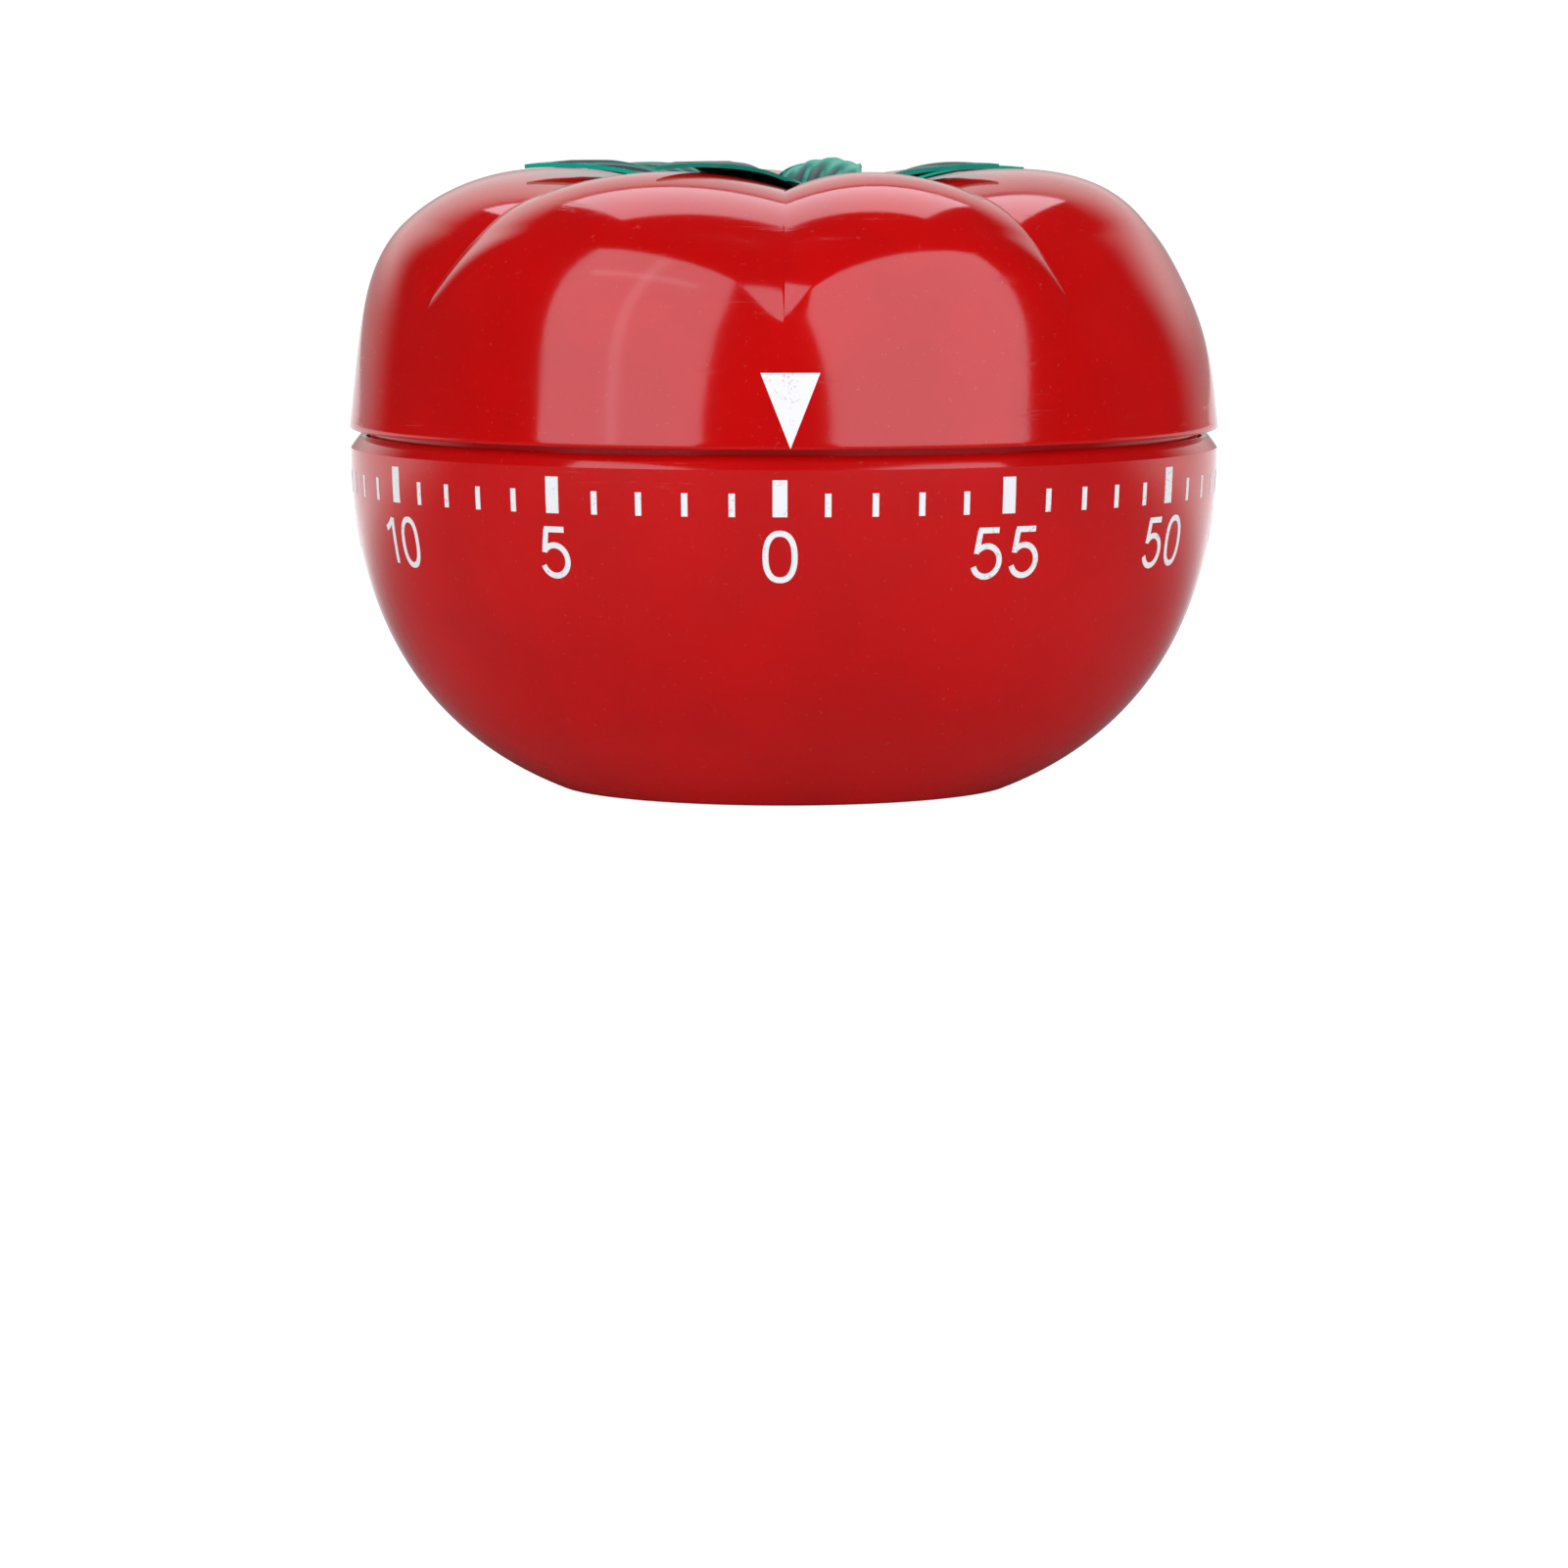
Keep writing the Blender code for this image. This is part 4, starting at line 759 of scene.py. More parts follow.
class MakeLowerShell(bpy.types.Operator):
    """Lower shell: a round bowl with a flat base, a screw well and a rim that holds the collar."""

    bl_idname = "timer.lower_shell"
    bl_label = "Lower shell"

    def execute(self, context):
        casing = settings("casing")
        outer = lower_form(casing)
        wall = casing.wall
        gap = 0.3 * MM
        ledge, rim_inside = COLLAR_LOW.z - gap, COLLAR_TOP.x + gap
        floor = wall + 0.4 * MM
        inner = [p for p in inside(outer[::2], wall) if floor + 0.4 * MM < p[1] < ledge - 0.4 * MM]
        well, lip = casing.well_radius, 0.2 * MM
        hole, boss = well - 2.2 * MM, well + 1.7 * MM
        roof = casing.well_depth + 1.5 * MM
        rim_foot = (casing.lower_radius, casing.rim_height - casing.rim_drop)
        rim_top = (casing.lower_radius - casing.rim_bevel, casing.rim_height)
        rim = bezier(
            rim_foot,
            (rim_foot[0] - 0.27 * MM, rim_foot[1] + 0.4 * MM),
            (rim_top[0] + 0.25 * MM, rim_top[1] - 0.25 * MM),
            rim_top,
            12,
        )
        lip_curve = arc((well + lip, lip), (lip, lip), 270, 180, 5)
        outline = [
            (casing.base_radius - 0.5 * MM, floor),
            *inner,
            (inner[-1][0] - gap, ledge),
            (rim_inside, ledge),
            (rim_inside, casing.rim_height - 0.2 * MM),
            (rim_inside + 0.2 * MM, casing.rim_height),
            *rim[::-1],
            *outer[:-1][::-1],
            (casing.base_radius - 0.12 * MM, 0.0),
            *[(well + lip + (casing.base_radius - well - lip) * i / 6, 0.0) for i in range(5, 0, -1)],
            *lip_curve,
            (well - 0.04 * MM, casing.well_depth * 0.5),
            (well - 0.08 * MM, casing.well_depth - 0.15 * MM),
            (well - 0.25 * MM, casing.well_depth),
            (hole, casing.well_depth),
            (hole, roof),
            (boss, roof),
            (boss, floor),
        ]
        shell = spun("lower_shell_skin", outline, 288, 30.0)
        place(shell, red_plastic(), "base", "red_plastic", "lower_shell")
        return {"FINISHED"}


class MakeCollar(bpy.types.Operator):
    """Deep red ring that closes the seam and guides the upper shell."""

    bl_idname = "timer.collar"
    bl_label = "Collar"

    def execute(self, context):
        outer, inner = COLLAR_TOP.x, COLLAR_TOP.x - 1.5 * MM
        low, high = COLLAR_LOW.z, COLLAR_TOP.z
        round_off = 0.3 * MM
        corner = arc((outer - round_off, high - round_off), (round_off, round_off), 0, 90, 5)
        bead = 0.12 * MM
        middle = (LOWER_TOP.z + UPPER_LOW.z) / 2
        outline = [
            (inner, low),
            (outer - bead, low),
            (outer - bead, middle - 1.1 * MM),
            (outer, middle - 0.95 * MM),
            (outer, middle + 0.2 * MM),
            (outer - bead, middle + 0.35 * MM),
            (outer - bead, high - round_off - bead),
            *[(r - bead, z) for r, z in corner],
            (inner, high),
        ]
        collar = spun("collar_skin", outline, 240)
        place(collar, collar_plastic(), "base", "dark_red_plastic", "collar_band")
        return {"FINISHED"}


class MakeUpperShell(bpy.types.Operator):
    """Upper shell: a round cap, spun and then pressed into six uneven lobes."""

    bl_idname = "timer.upper_shell"
    bl_label = "Upper shell"

    def execute(self, context):
        casing = settings("casing")
        outer = upper_form(casing)
        floor = hollow_floor(casing)
        side = casing.upper_radius - casing.wall
        roof = casing.crest_height - casing.groove_depth - 1.6 * MM
        lining = [
            (2.05 * MM, floor - 0.1 * MM),
            (2.05 * MM, floor - 1.4 * MM),
            (casing.hollow_radius + 2.0 * MM, floor - 2.0 * MM),
            (casing.hollow_radius + 8.6 * MM, roof - 0.7 * MM),
            *bezier(
                (casing.hollow_radius + 14.1 * MM, roof),
                (side - 9.0 * MM, roof - 0.4 * MM),
                (side - 3.9 * MM, roof - 4.3 * MM),
                (side - 1.9 * MM, casing.edge_height + 9.5 * MM),
                10,
            ),
            (side - 0.5 * MM, casing.edge_height + 6.0 * MM),
            (side, casing.edge_height),
        ]
        columns = 90
        shell = spun("upper_shell_skin", outer + lining, columns * len(LOBES), 50.0)
        self.press_lobes(shell, casing, outer, columns)
        smooth(shell, 42.0)
        place(shell, red_plastic(), "top", "red_plastic", "upper_shell")
        return {"FINISHED"}

    def press_lobes(self, shell, casing, outer, columns):
        """Moves the columns towards the creases, and sinks the outer surface between the lobes."""
        normals = normals_of(outer)
        tree = KDTree(len(outer))
        for i, (radius, height) in enumerate(outer):
            tree.insert((radius, height, 0.0), i)
        tree.balance()
        turn = 360 / (columns * len(LOBES))
        for vertex in shell.data.vertices:
            radius, height = vertex.co.xy.length, vertex.co.z
            column = round(math.degrees(math.atan2(vertex.co.y, vertex.co.x)) % 360 / turn)
            lobe, step = divmod(column % (columns * len(LOBES)), columns)
            along = step / columns
            along -= 0.72 * math.sin(math.tau * along) / math.tau
            start, end = LOBES[lobe][0], LOBE_ENDS[lobe]
            angle = start + (end - start) * along
            _, index, distance = tree.find((radius, height, 0.0))
            if distance < SPIN_ERROR:
                depth = lobe_sink(casing, angle, radius, height)
                radius -= depth * normals[index].x
                height -= depth * normals[index].y
                angle += self.curl(along, radius)
            vertex.co = (*polar(radius, angle), height)

    def curl(self, along, radius):
        """Degrees by which the creases bend near the middle."""
        reach = max(1.0 - radius / (22.0 * MM), 0.0)
        return 5.0 * reach * (2 * along - 1) ** 2


# Between the leaves' hub and the hollow's floor, and between the hub and the stem
HUB_GAP = 0.3 * MM


class MakeCalyx(bpy.types.Operator):
    """Six ribbed leaves and their hub, shaped from one grid that is wrapped round the stem."""

    bl_idname = "timer.calyx"
    bl_label = "Calyx"

    def execute(self, context):
        casing, crown = settings("casing"), settings("crown")
        across, rows = 48, 54
        columns = across * len(LEAVES)
        deselect()
        bpy.ops.mesh.primitive_grid_add(x_subdivisions=columns, y_subdivisions=rows, size=2.0)
        leaves = named("calyx_skin")
        rib = leaves.data.attributes.new("rib", "FLOAT", "POINT")
        edge = leaves.data.attributes.new("edge", "FLOAT", "POINT")
        green = leaves.data.attributes.new("green", "FLOAT", "POINT")
        lifted = inside(crest_line(casing, 80, 40), -crown.gap - crown.thickness)
        for vertex in leaves.data.vertices:
            column = round((vertex.co.x + 1) / 2 * columns) % columns
            along = (vertex.co.y + 1) / 2
            leaf, step = divmod(column, across)
            side = step / across * 2 - 1
            point, ridge = self.leaf_point(casing, crown, lifted, leaf, side, along)
            vertex.co = point
            rib.data[vertex.index].value = ridge
            edge.data[vertex.index].value = max(side**2 * min(along * 3, 1.0), along**6)
            green.data[vertex.index].value = LEAVES[leaf][5]
        tidy(leaves, 1e-6)
        apply(leaves, "SOLIDIFY", thickness=crown.thickness, offset=-1.0, use_even_offset=False)
        tidy(leaves, 1e-6)
        calyx = join("calyx_skin", [leaves, self.make_hub(casing, crown)])
        smooth(calyx, 50.0)
        place(calyx, leaf_plastic(), "top", "leaf_plastic", "calyx")
        return {"FINISHED"}

    def leaf_point(self, casing, crown, lifted, leaf, side, along):
        """A point of the leaves' upper surface, and how high it is on a rib, from 0 to 1."""
        tip_angle, tip_radius, root_angle, after, lift, _ = LEAVES[leaf]
        before = LEAVES[leaf - 1][3] - (360 if leaf == 0 else 0)
        outwards = (1 - abs(side)) ** 0.8
        rim = crown.valley_radius + (tip_radius - crown.valley_radius) * outwards
        middle = root_angle + (tip_angle - root_angle) * outwards**2
        valley = after if side > 0 else before
        taper = (1 - outwards**1.3) * crown.valley_radius / rim
        rim_angle = middle + (valley - root_angle) * taper
        hub_angle = root_angle + (valley - root_angle) * abs(side)
        start = crown.hub_radius - 0.2 * MM
        radius = start + (rim - start) * along
        angle = hub_angle + (rim_angle - hub_angle) * along
        ridge = 0.5 + 0.5 * math.cos(math.pi * side * 6)
        fade = min(1.0, along * 4, (1 - along) * 5) * min(1.0, (1 - abs(side)) * 8)
        level = value_at(lifted, radius)
        drop = 0.45 * lobe_sink(casing, angle, radius, level)
        arch = (0.4 * MM + lift) * math.sin(math.pi * min(along * 1.1, 1.0)) * (1 - side**2)
        height = max(level - drop + arch, hollow_floor(casing) + HUB_GAP + crown.thickness)
        cupped = 0.35 * MM * side**2 * min(along * 2, 1.0) * (1 - along**4)
        height += crown.rib_height * (ridge - 1.0) * fade - cupped
        return (*polar(radius, angle), min(height, CALYX_TOP.z)), ridge

    def make_hub(self, casing, crown):
        foot = hollow_floor(casing) + HUB_GAP
        top = hollow_floor(casing) + crown.hub_rise
        bore, outer = crown.stem_radius + HUB_GAP, crown.hub_radius
        lip = (outer - bore) / 2
        rounded = arc(((outer + bore) / 2, top - lip), (lip, lip), 0, 180, 10)
        return spun("hub", [(bore, foot), (outer, foot), *rounded], 72)


class MakeStem(bpy.types.Operator):
    """Stem: a short round plug with a cone pressed into its end."""

    bl_idname = "timer.stem"
    bl_label = "Stem"

    def execute(self, context):
        crown = settings("crown")
        shank, shoulder = 1.7 * MM, STEM_LOW.z + 2.7 * MM
        top, radius = STEM_TOP.z, crown.stem_radius
        round_off = 0.3 * MM
        rim = arc((radius - round_off, top - round_off), (round_off, round_off), 0, 90, 6)
        cone = bezier(
            (radius - round_off - 0.15 * MM, top),
            (radius - round_off - 0.5 * MM, top),
            (0.5 * MM, top - crown.dimple_depth * 0.86),
            (0.0, top - crown.dimple_depth),
            10,
        )
        outline = [
            (0.0, STEM_LOW.z),
            (shank - round_off, STEM_LOW.z),
            (shank, STEM_LOW.z + round_off),
            (shank, shoulder),
            (radius, shoulder),
            *rim,
            *cone[:-1],
            (0.0, cone[-1][1]),
        ]
        stem = spun("stem_skin", outline, 96, 40.0)
        place(stem, stem_plastic(), "top", "stem_plastic", "stem_plug")
        return {"FINISHED"}


class MakeCaseScrew(bpy.types.Operator):
    """Pan-head screw with a tapered cross recess, threaded where it enters the post."""

    bl_idname = "timer.case_screw"
    bl_label = "Case screw"

    def execute(self, context):
        head, shank, root = SCREW_TOP.x, 1.15 * MM, 0.93 * MM
        face, under, end = SCREW_LOW.z, SCREW_LOW.z + 1.7 * MM, SCREW_TOP.z
        dome = bezier(
            (0.0, face),
            (head * 0.75, face),
            (head, face + 0.25 * MM),
            (head, face + 0.95 * MM),
            14,
        )
        thread = []
        pitch, start = 0.45 * MM, under + 0.8 * MM
        turns = int((end - 0.7 * MM - start) / pitch)
        for turn in range(turns):
            foot = start + turn * pitch
            thread += [(root, foot), (shank, foot + pitch / 2)]
        outline = [
            *dome,
            (head, under - 0.1 * MM),
            (head - 0.1 * MM, under),
            (shank, under),
            (shank, start - 0.2 * MM),
            *thread,
            (root, start + turns * pitch),
            (shank * 0.5, end),
            (0.0, end),
        ]
        screw = spun("case_screw_skin", outline, 64, 32.0)
        combine(screw, self.cross_cutter(face), "DIFFERENCE")
        tidy(screw)
        smooth(screw, 32.0)
        place(screw, screw_zinc(), "base", "zinc_steel", "case_screw")
        return {"FINISHED"}

    def cross_cutter(self, face):
        """Two tapered blades and a cone between them, as the driver's tip fills the recess."""
        deep, proud = 1.25 * MM, 0.2 * MM
        blades = []
        for turn in (0, 90):
            deselect()
            bpy.ops.mesh.primitive_cube_add(size=1.0, location=(0, 0, face - proud + deep / 2))
            blade = named(f"blade_{turn}")
            for vertex in blade.data.vertices:
                inner = vertex.co.z > 0
                half_long = 0.75 * MM if inner else 1.5 * MM
                half_wide = 0.24 * MM if inner else 0.36 * MM
                x = math.copysign(half_long, vertex.co.x)
                y = math.copysign(half_wide, vertex.co.y)
                x, y = (x, y) if turn == 0 else (-y, x)
                vertex.co = (x, y, math.copysign(deep / 2, vertex.co.z))
            settle(blade)
            blades.append(blade)
        deselect()
        tall = deep + 0.3 * MM
        bpy.ops.mesh.primitive_cone_add(vertices=24, radius1=0.95 * MM, radius2=0.3 * MM, depth=tall)
        cone = named("cross_cone")
        cone.location = (0, 0, face - proud + tall / 2)
        settle(cone)
        combine(blades[0], blades[1], "UNION")
        combine(blades[0], cone, "UNION")
        return blades[0]


def wrap_on(piece, line, middle_angle):
    """Lays a flat solid on a round surface. X runs along the surface to the right seen from outside,
    Y up it, and Z out of it. line is the surface's (radius, height)."""
    radii = {}
    for vertex in piece.data.vertices:
        x, height, proud = vertex.co
        key = round(height / (0.01 * MM))
        if key not in radii:
            radii[key] = value_at(line, height, 1, 0)
        radius = radii[key]
        angle = middle_angle + math.degrees(x / radius)
        vertex.co = (*polar(radius + proud, angle), height)


def flat_plate(name, width, foot, tall, ink, cuts):
    """A thin upright plate of ink, subdivided so that it can follow a curve."""
    deselect()
    bpy.ops.mesh.primitive_cube_add(size=1.0)
    plate = named(name)
    edit(plate)
    bpy.ops.mesh.subdivide(number_cuts=cuts)
    finish_edit()
    for vertex in plate.data.vertices:
        depth = ink if vertex.co.z > 0.49 else -2 * ink
        if abs(vertex.co.z) < 0.49:
            depth = ink * 0.4
        vertex.co = (vertex.co.x * width, foot + (vertex.co.y + 0.5) * tall, depth)
    return plate


class MakeDialMarks(bpy.types.Operator):
    """Sixty minute marks round the lower shell, every fifth one longer and wider."""

    bl_idname = "timer.dial_marks"
    bl_label = "Dial marks"

    def execute(self, context):
        dial, casing = settings("print"), settings("casing")
        surface = lower_form(casing)
        marks = []
        for minute in range(60):
            long = minute % 5 == 0
            width = dial.long_width if long else dial.short_width
            tall = dial.long_mark if long else dial.short_mark
            mark = flat_plate(f"mark_{minute}", width, dial.mark_foot, tall, dial.ink, 3)
            wrap_on(mark, surface, dial.zero_angle - 6.0 * minute)
            marks.append(mark)
        joined = join("dial_marks", marks)
        tidy(joined)
        place(joined, ink_material(), "base", "red_plastic")
        return {"FINISHED"}


def digit_strokes(digit, wide, tall):
    """Middle lines of a digit's strokes: lists of points, and whether each is closed."""
    half_wide, half_tall = wide / 2, tall / 2
    if digit == 0:
        points = []
        for i in range(48):
            turn = math.tau * i / 48
            c, s = math.cos(turn), math.sin(turn)
            x = math.copysign(abs(c) ** 0.86, c) * half_wide
            y = math.copysign(abs(s) ** 0.86, s) * half_tall
            points.append((x, half_tall + y))
        return [(points, True)]
    if digit == 1:
        stem = steps_between((0.14 * wide, 0), (0.14 * wide, tall), 16)
        flag = bezier(
            (0.10 * wide, tall * 0.97),
            (-0.05 * wide, tall * 0.88),
            (-0.2 * wide, tall * 0.80),
            (-0.42 * wide, tall * 0.755),
            8,
        )
        return [(stem, False), (flag, False)]
    if digit == 2:
        bowl = arc((0, tall - half_wide * 1.04), (half_wide, half_wide * 1.04), 172, -18, 22)
        low_left = (-half_wide, 0)
        tail = bezier(bowl[-1], (0.36 * wide, 0.42 * tall), (-0.42 * wide, 0.3 * tall), low_left, 14)
        foot = steps_between((-half_wide * 1.12, 0), (half_wide * 1.08, 0), 8)
        return [(bowl + tail[1:], False), (foot, False)]
    if digit == 3:
        upper = 0.235 * tall
        lower = 0.5 * tall - upper
        high = arc((0, tall - upper), (half_wide * 0.88, upper), 165, -90, 24)
        low = arc((0, lower), (half_wide, lower), 90, -162, 26)
        lead = steps_between((-0.18 * wide, 0.53 * tall), (0, 0.53 * tall), 3)
        return [(high, False), (lead[:-1] + low, False)]
    if digit == 4:
        stem = steps_between((0.2 * wide, 0), (0.2 * wide, tall * 1.03), 16)
        slope = steps_between((0.16 * wide, tall * 0.98), (-half_wide, 0.26 * tall), 14)
        bar = steps_between((-half_wide * 1.12, 0.26 * tall), (half_wide * 1.1, 0.26 * tall), 9)
        return [(stem, False), (slope, False), (bar, False)]
    bowl_tall = 0.33 * tall
    bar = steps_between((half_wide * 0.82, tall), (-0.38 * wide, tall), 8)
    stem = steps_between((-0.31 * wide, tall), (-0.42 * wide, 0.50 * tall), 8)
    bowl = arc((-0.02 * wide, bowl_tall), (half_wide * 1.02, bowl_tall), 142, -160, 30)
    return [(bar, False), (stem, False), (bowl, False)]


def steps_between(start, end, steps):
    return [
        (start[0] + (end[0] - start[0]) * i / steps, start[1] + (end[1] - start[1]) * i / steps)
        for i in range(steps + 1)
    ]


def stroke_solid(name, points, closed, stroke, low, high):
    """A stroke's middle line, raised into a wall and given the stroke's width."""
    wall = ring_of(name, [(x, y, low) for x, y in points])
    if not closed:
        first, last = wall.data.vertices[0].co.copy(), wall.data.vertices[-1].co.copy()
        ends = (first, last)
        cut_edges(wall, lambda co: any((co - e).length < WELD for e in ends))
    edit(wall)
    bpy.ops.mesh.extrude_region_move(TRANSFORM_OT_translate={"value": (0, 0, high - low)})
    finish_edit()
    tidy(wall)
    apply(wall, "SOLIDIFY", thickness=stroke, offset=0.0, use_even_offset=True)
    tidy(wall)
    return wall


class MakeDialNumbers(bpy.types.Operator):
    """The numbers 0 to 55 under the five-minute marks, counting up to the left."""

    bl_idname = "timer.dial_numbers"
    bl_label = "Dial numbers"

    def execute(self, context):
        dial, casing = settings("print"), settings("casing")
        surface = lower_form(casing)
        digits = {number: self.make_digit(number, dial) for number in range(6)}
        pieces = []
        for number in range(0, 60, 5):
            text = str(number)
            for i, character in enumerate(text):
                digit = duplicate(digits[int(character)], f"digit_{number}_{i}")
                shift = (i - (len(text) - 1) / 2) * dial.digit_space
                # A 1 is narrow, so it stands nearer to the digit after it.
                if number in (10, 15):
                    shift += 0.25 * MM if i == 0 else -0.1 * MM
                for vertex in digit.data.vertices:
                    vertex.co.x += shift
                    vertex.co.y += dial.digit_foot
                wrap_on(digit, surface, dial.zero_angle - 6.0 * number)
                pieces.append(digit)
        for digit in digits.values():
            bpy.data.objects.remove(digit, do_unlink=True)
        joined = join("dial_numbers", pieces)
        place(joined, ink_material(), "base", "red_plastic")
        return {"FINISHED"}

    def make_digit(self, number, dial):
        wide, tall = dial.digit_width - dial.stroke, dial.digit_height - dial.stroke
        solids = []
        for i, (points, closed) in enumerate(digit_strokes(number, wide, tall)):
            raised = [(x, y + dial.stroke / 2) for x, y in points]
            solids.append(
                stroke_solid(f"stroke_{number}_{i}", raised, closed, dial.stroke, -2 * dial.ink, dial.ink)
            )
        for other in solids[1:]:
            combine(solids[0], other, "UNION")
        solids[0].name = f"digit_{number}"
        return solids[0]


# The first points of the upper form, which lie on its flank, where each height comes once
FLANK_POINTS = 36


class MakePointer(bpy.types.Operator):
    """Printed triangle on the upper shell that points down at the dial."""

    bl_idname = "timer.pointer"
    bl_label = "Pointer"

    def execute(self, context):
        dial, casing = settings("print"), settings("casing")
        tip = casing.edge_height + 0.12 * MM
        top = tip + dial.pointer_height
        half = dial.pointer_width / 2
        pointer = ring_of("pointer", [(-half, top, 0), (0, tip, 0), (half, top, 0)])
        edit(pointer)
        bpy.ops.mesh.edge_face_add()
        bpy.ops.mesh.subdivide(number_cuts=17)
        bpy.ops.mesh.select_all(action="SELECT")
        bpy.ops.mesh.extrude_region_move(TRANSFORM_OT_translate={"value": (0, 0, dial.ink)})
        finish_edit()
        for vertex in pointer.data.vertices:
            if vertex.co.z < dial.ink / 2:
                vertex.co.z = -2 * dial.ink
        tidy(pointer)
        wrap_on(pointer, upper_form(casing)[:FLANK_POINTS], dial.pointer_angle)
        place(pointer, ink_material(), "top", "red_plastic")
        return {"FINISHED"}


class FinishMovement(bpy.types.Operator):
    """Gives the clockwork's solids their worked-metal finishes."""

    bl_idname = "timer.movement"
    bl_label = "Movement finishes"

    def execute(self, context):
        slots = {s["node"]: s["material_slot"] for s in frame["record"]["subparts"]}
        for name, solid in frame["nodes"].items():
            finish = METALS.get(slots[name])
            if finish:
                solid.data.materials.clear()
                solid.data.materials.append(metal_material(*finish))
        return {"FINISHED"}


LAMP_TINT = (0.97, 0.99, 1.08)
CAMERA_PITCH = 6.14
PAPER_SPILL = 0.22


def around(azimuth, lift, reach, height):
    """A place at a distance from the axis: 0 is in front, and angles run to the right and up."""
    turn, lift = math.radians(azimuth), math.radians(lift)
    level = reach * math.cos(lift)
    return level * math.sin(turn), -level * math.cos(turn), height + reach * math.sin(lift)


def soft_box(name, middle, target, width, height, radiance):
    """A rectangular area light that faces a point."""
    light = bpy.data.lights.new(name, "AREA")
    light.shape = "RECTANGLE"
    light.size, light.size_y = width, height
    light.energy = radiance * math.pi * width * height
    light.color = LAMP_TINT
    lamp = bpy.data.objects.new(name, light)
    bpy.context.scene.collection.objects.link(lamp)
    lamp.location = middle
    lamp.rotation_euler = (Vector(target) - Vector(middle)).to_track_quat("-Z", "Y").to_euler()
    return lamp


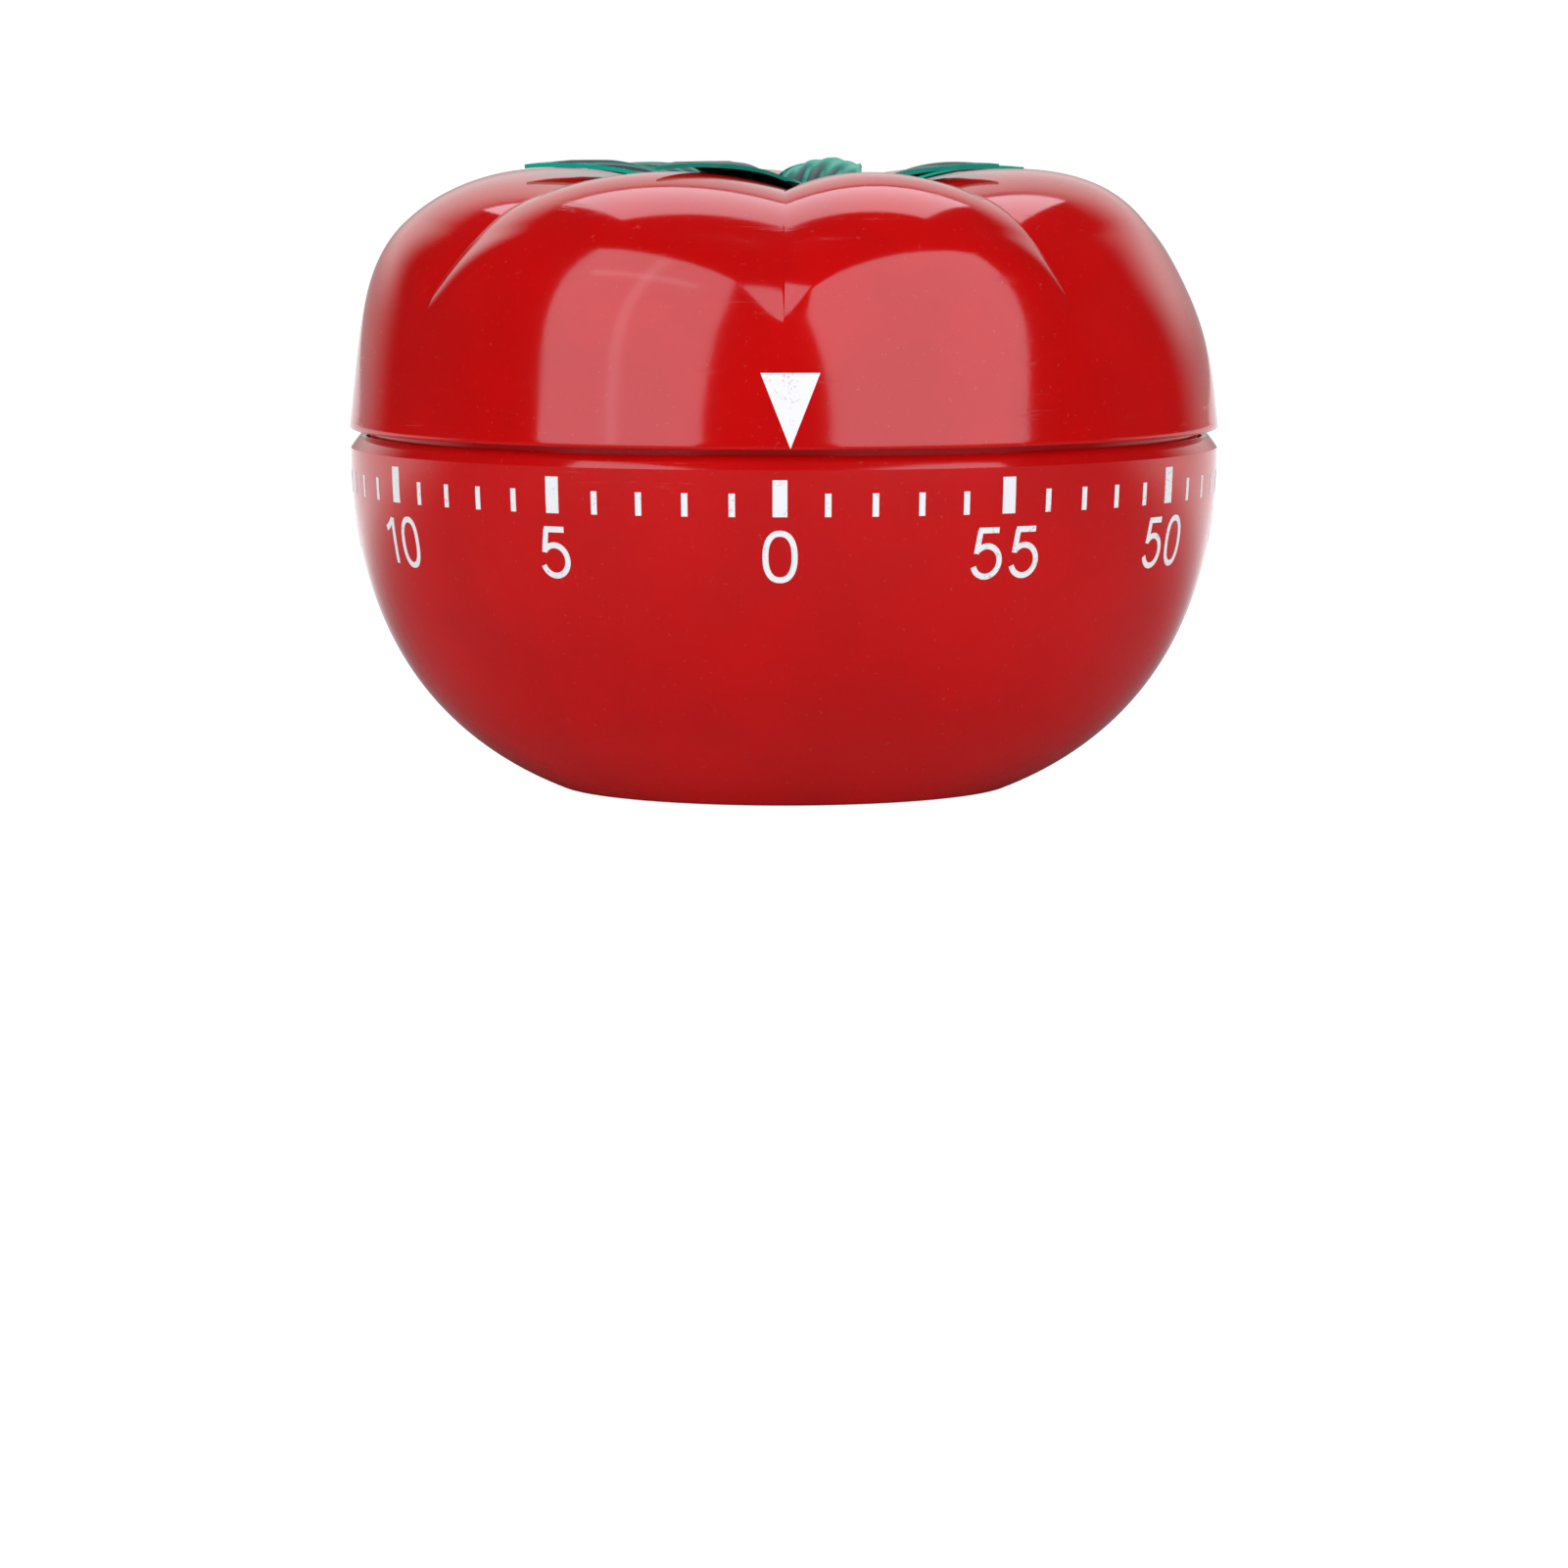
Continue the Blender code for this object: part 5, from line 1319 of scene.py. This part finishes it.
class BuildStudio(bpy.types.Operator):
    """Pale floor, two tall soft boxes, an overhead one, a room that is bright behind, and the camera."""

    bl_idname = "timer.studio"
    bl_label = "Studio"

    def execute(self, context):
        studio = settings("studio")
        self.add_floor(studio)
        self.add_lights(studio)
        self.add_room(studio)
        self.add_camera(studio)
        context.scene.view_settings.view_transform = "Standard"
        return {"FINISHED"}

    def add_floor(self, studio):
        """A sheet of white paper that throws only a little light back at the timer."""
        deselect()
        bpy.ops.mesh.primitive_circle_add(vertices=96, radius=4.0, fill_type="NGON")
        paper = named("studio_floor")
        made, nodes, shader = new_material("studio_paper")
        where = nodes.here()
        grain = nodes.noise(where, 700.0, 3.0)
        pale = settings("colours").floor
        tint = nodes.mix(nodes.spread(grain, 0.3, 0.7), tinted(pale, 0.97), pale)
        nodes.link(tint, shader.inputs["Base Color"])
        shader.inputs["Roughness"].default_value = 0.85
        shader.inputs["Specular IOR Level"].default_value = 0.2
        shader.inputs["Emission Color"].default_value = (1.0, 1.0, 1.0, 1.0)
        path = nodes.add("ShaderNodeLightPath")
        mirrored = path.outputs["Is Glossy Ray"]
        depth = nodes.add("ShaderNodeSeparateXYZ", {"Vector": where}).outputs["Y"]
        dimmed = nodes.times(mirrored, nodes.spread(depth, 0.2, 0.0))
        spilled = nodes.times(path.outputs["Is Diffuse Ray"], PAPER_SPILL)
        dimmed = nodes.math("MAXIMUM", dimmed, spilled)
        glow = nodes.times(nodes.math("SUBTRACT", 1.0, dimmed), studio.paper_lift)
        nodes.link(glow, shader.inputs["Emission Strength"])
        paper.data.materials.append(made)

    def add_lights(self, studio):
        target, reach = (0.0, 0.0, 0.04), 0.95
        for name, azimuth, width in (("left", -44.0, 0.83), ("right", 39.5, 1.02)):
            middle = around(azimuth, 30.0, reach, target[2])
            soft_box(f"soft_box_{name}", middle, target, width, 1.12, studio.radiance)
        soft_box("soft_box_top", (0.0, 0.45, 0.81), target, 0.72, 0.56, studio.radiance * 1.1)
        self.add_tubes(studio, target)
        for side in (-1, 1):
            fill = soft_box(f"side_fill_{side}", (0.9 * side, 0.3, 0.2), target, 0.5, 0.7, studio.fill)
            fill.visible_glossy = False

    def add_tubes(self, studio, target):
        """Two lamp tubes that shine through the left soft box: one upright, one level."""
        for name, azimuth, lift, width, height in (
            ("upright", -45.0, 30.0, 0.05, 1.0),
            ("level", -46.0, 45.0, 0.5, 0.05),
        ):
            middle = around(azimuth, lift, 0.93, target[2])
            soft_box(f"tube_{name}", middle, target, width, height, studio.radiance * 0.4)

    def add_room(self, studio):
        """The room is dim in front and white behind, and the camera sees only white."""
        world = bpy.data.worlds.new("studio_room")
        world.use_nodes = True
        nodes = Nodes(world.node_tree)
        background = world.node_tree.nodes["Background"]
        background.inputs["Color"].default_value = (1.0, 1.0, 1.0, 1.0)
        direction = nodes.add("ShaderNodeTexCoord").outputs["Generated"]
        split = nodes.add("ShaderNodeSeparateXYZ", {"Vector": direction})
        behind = nodes.spread(split.outputs["Y"], 0.6, 0.86)
        low = nodes.spread(split.outputs["Z"], 0.66, 0.58)
        low = nodes.times(low, nodes.spread(split.outputs["Z"], 0.04, 0.25, 0.42, 1.0))
        light = nodes.times(nodes.times(behind, low), studio.backdrop)
        light = nodes.math("ADD", light, studio.surround)
        seen = nodes.add("ShaderNodeLightPath").outputs["Is Camera Ray"]
        nodes.link(nodes.math("MAXIMUM", light, seen), background.inputs["Strength"])
        bpy.context.scene.world = world

    def add_camera(self, studio):
        data = bpy.data.cameras.new("studio_camera")
        data.lens = studio.lens
        data.sensor_width = 36.0
        camera = bpy.data.objects.new("studio_camera", data)
        bpy.context.scene.collection.objects.link(camera)
        camera.location = (0.0, -studio.distance, studio.height)
        camera.rotation_euler = (math.radians(90.0 - CAMERA_PITCH), 0.0, 0.0)
        bpy.context.scene.camera = camera


STEPS = (
    MakeLowerShell,
    MakeCollar,
    MakeUpperShell,
    MakeCalyx,
    MakeStem,
    MakeCaseScrew,
    MakeDialMarks,
    MakeDialNumbers,
    MakePointer,
    FinishMovement,
    BuildStudio,
)


class TimerPanel(bpy.types.Panel):
    """Lists the timer's sizes, colours and making steps."""

    bl_idname = "VIEW3D_PT_timer"
    bl_label = "Tomato timer"
    bl_space_type = "VIEW_3D"
    bl_region_type = "UI"
    bl_category = "Timer"

    def draw(self, context):
        for name, kind in SETTINGS.items():
            box = self.layout.box()
            box.label(text=kind.__name__)
            group = getattr(context.scene, name)
            for key in kind.__annotations__:
                box.prop(group, key)
        for step in STEPS:
            self.layout.operator(step.bl_idname)


def register():
    for kind in (*SETTINGS.values(), *STEPS, TimerPanel):
        bpy.utils.register_class(kind)
    for name, kind in SETTINGS.items():
        setattr(bpy.types.Scene, name, PointerProperty(type=kind))


def unregister():
    for name in SETTINGS:
        delattr(bpy.types.Scene, name)
    for kind in (TimerPanel, *reversed(STEPS), *reversed(tuple(SETTINGS.values()))):
        bpy.utils.unregister_class(kind)


def main():
    register()
    for step in STEPS:
        group, operator = step.bl_idname.split(".")
        getattr(getattr(bpy.ops, group), operator)()


if __name__ == "__main__":
    main()
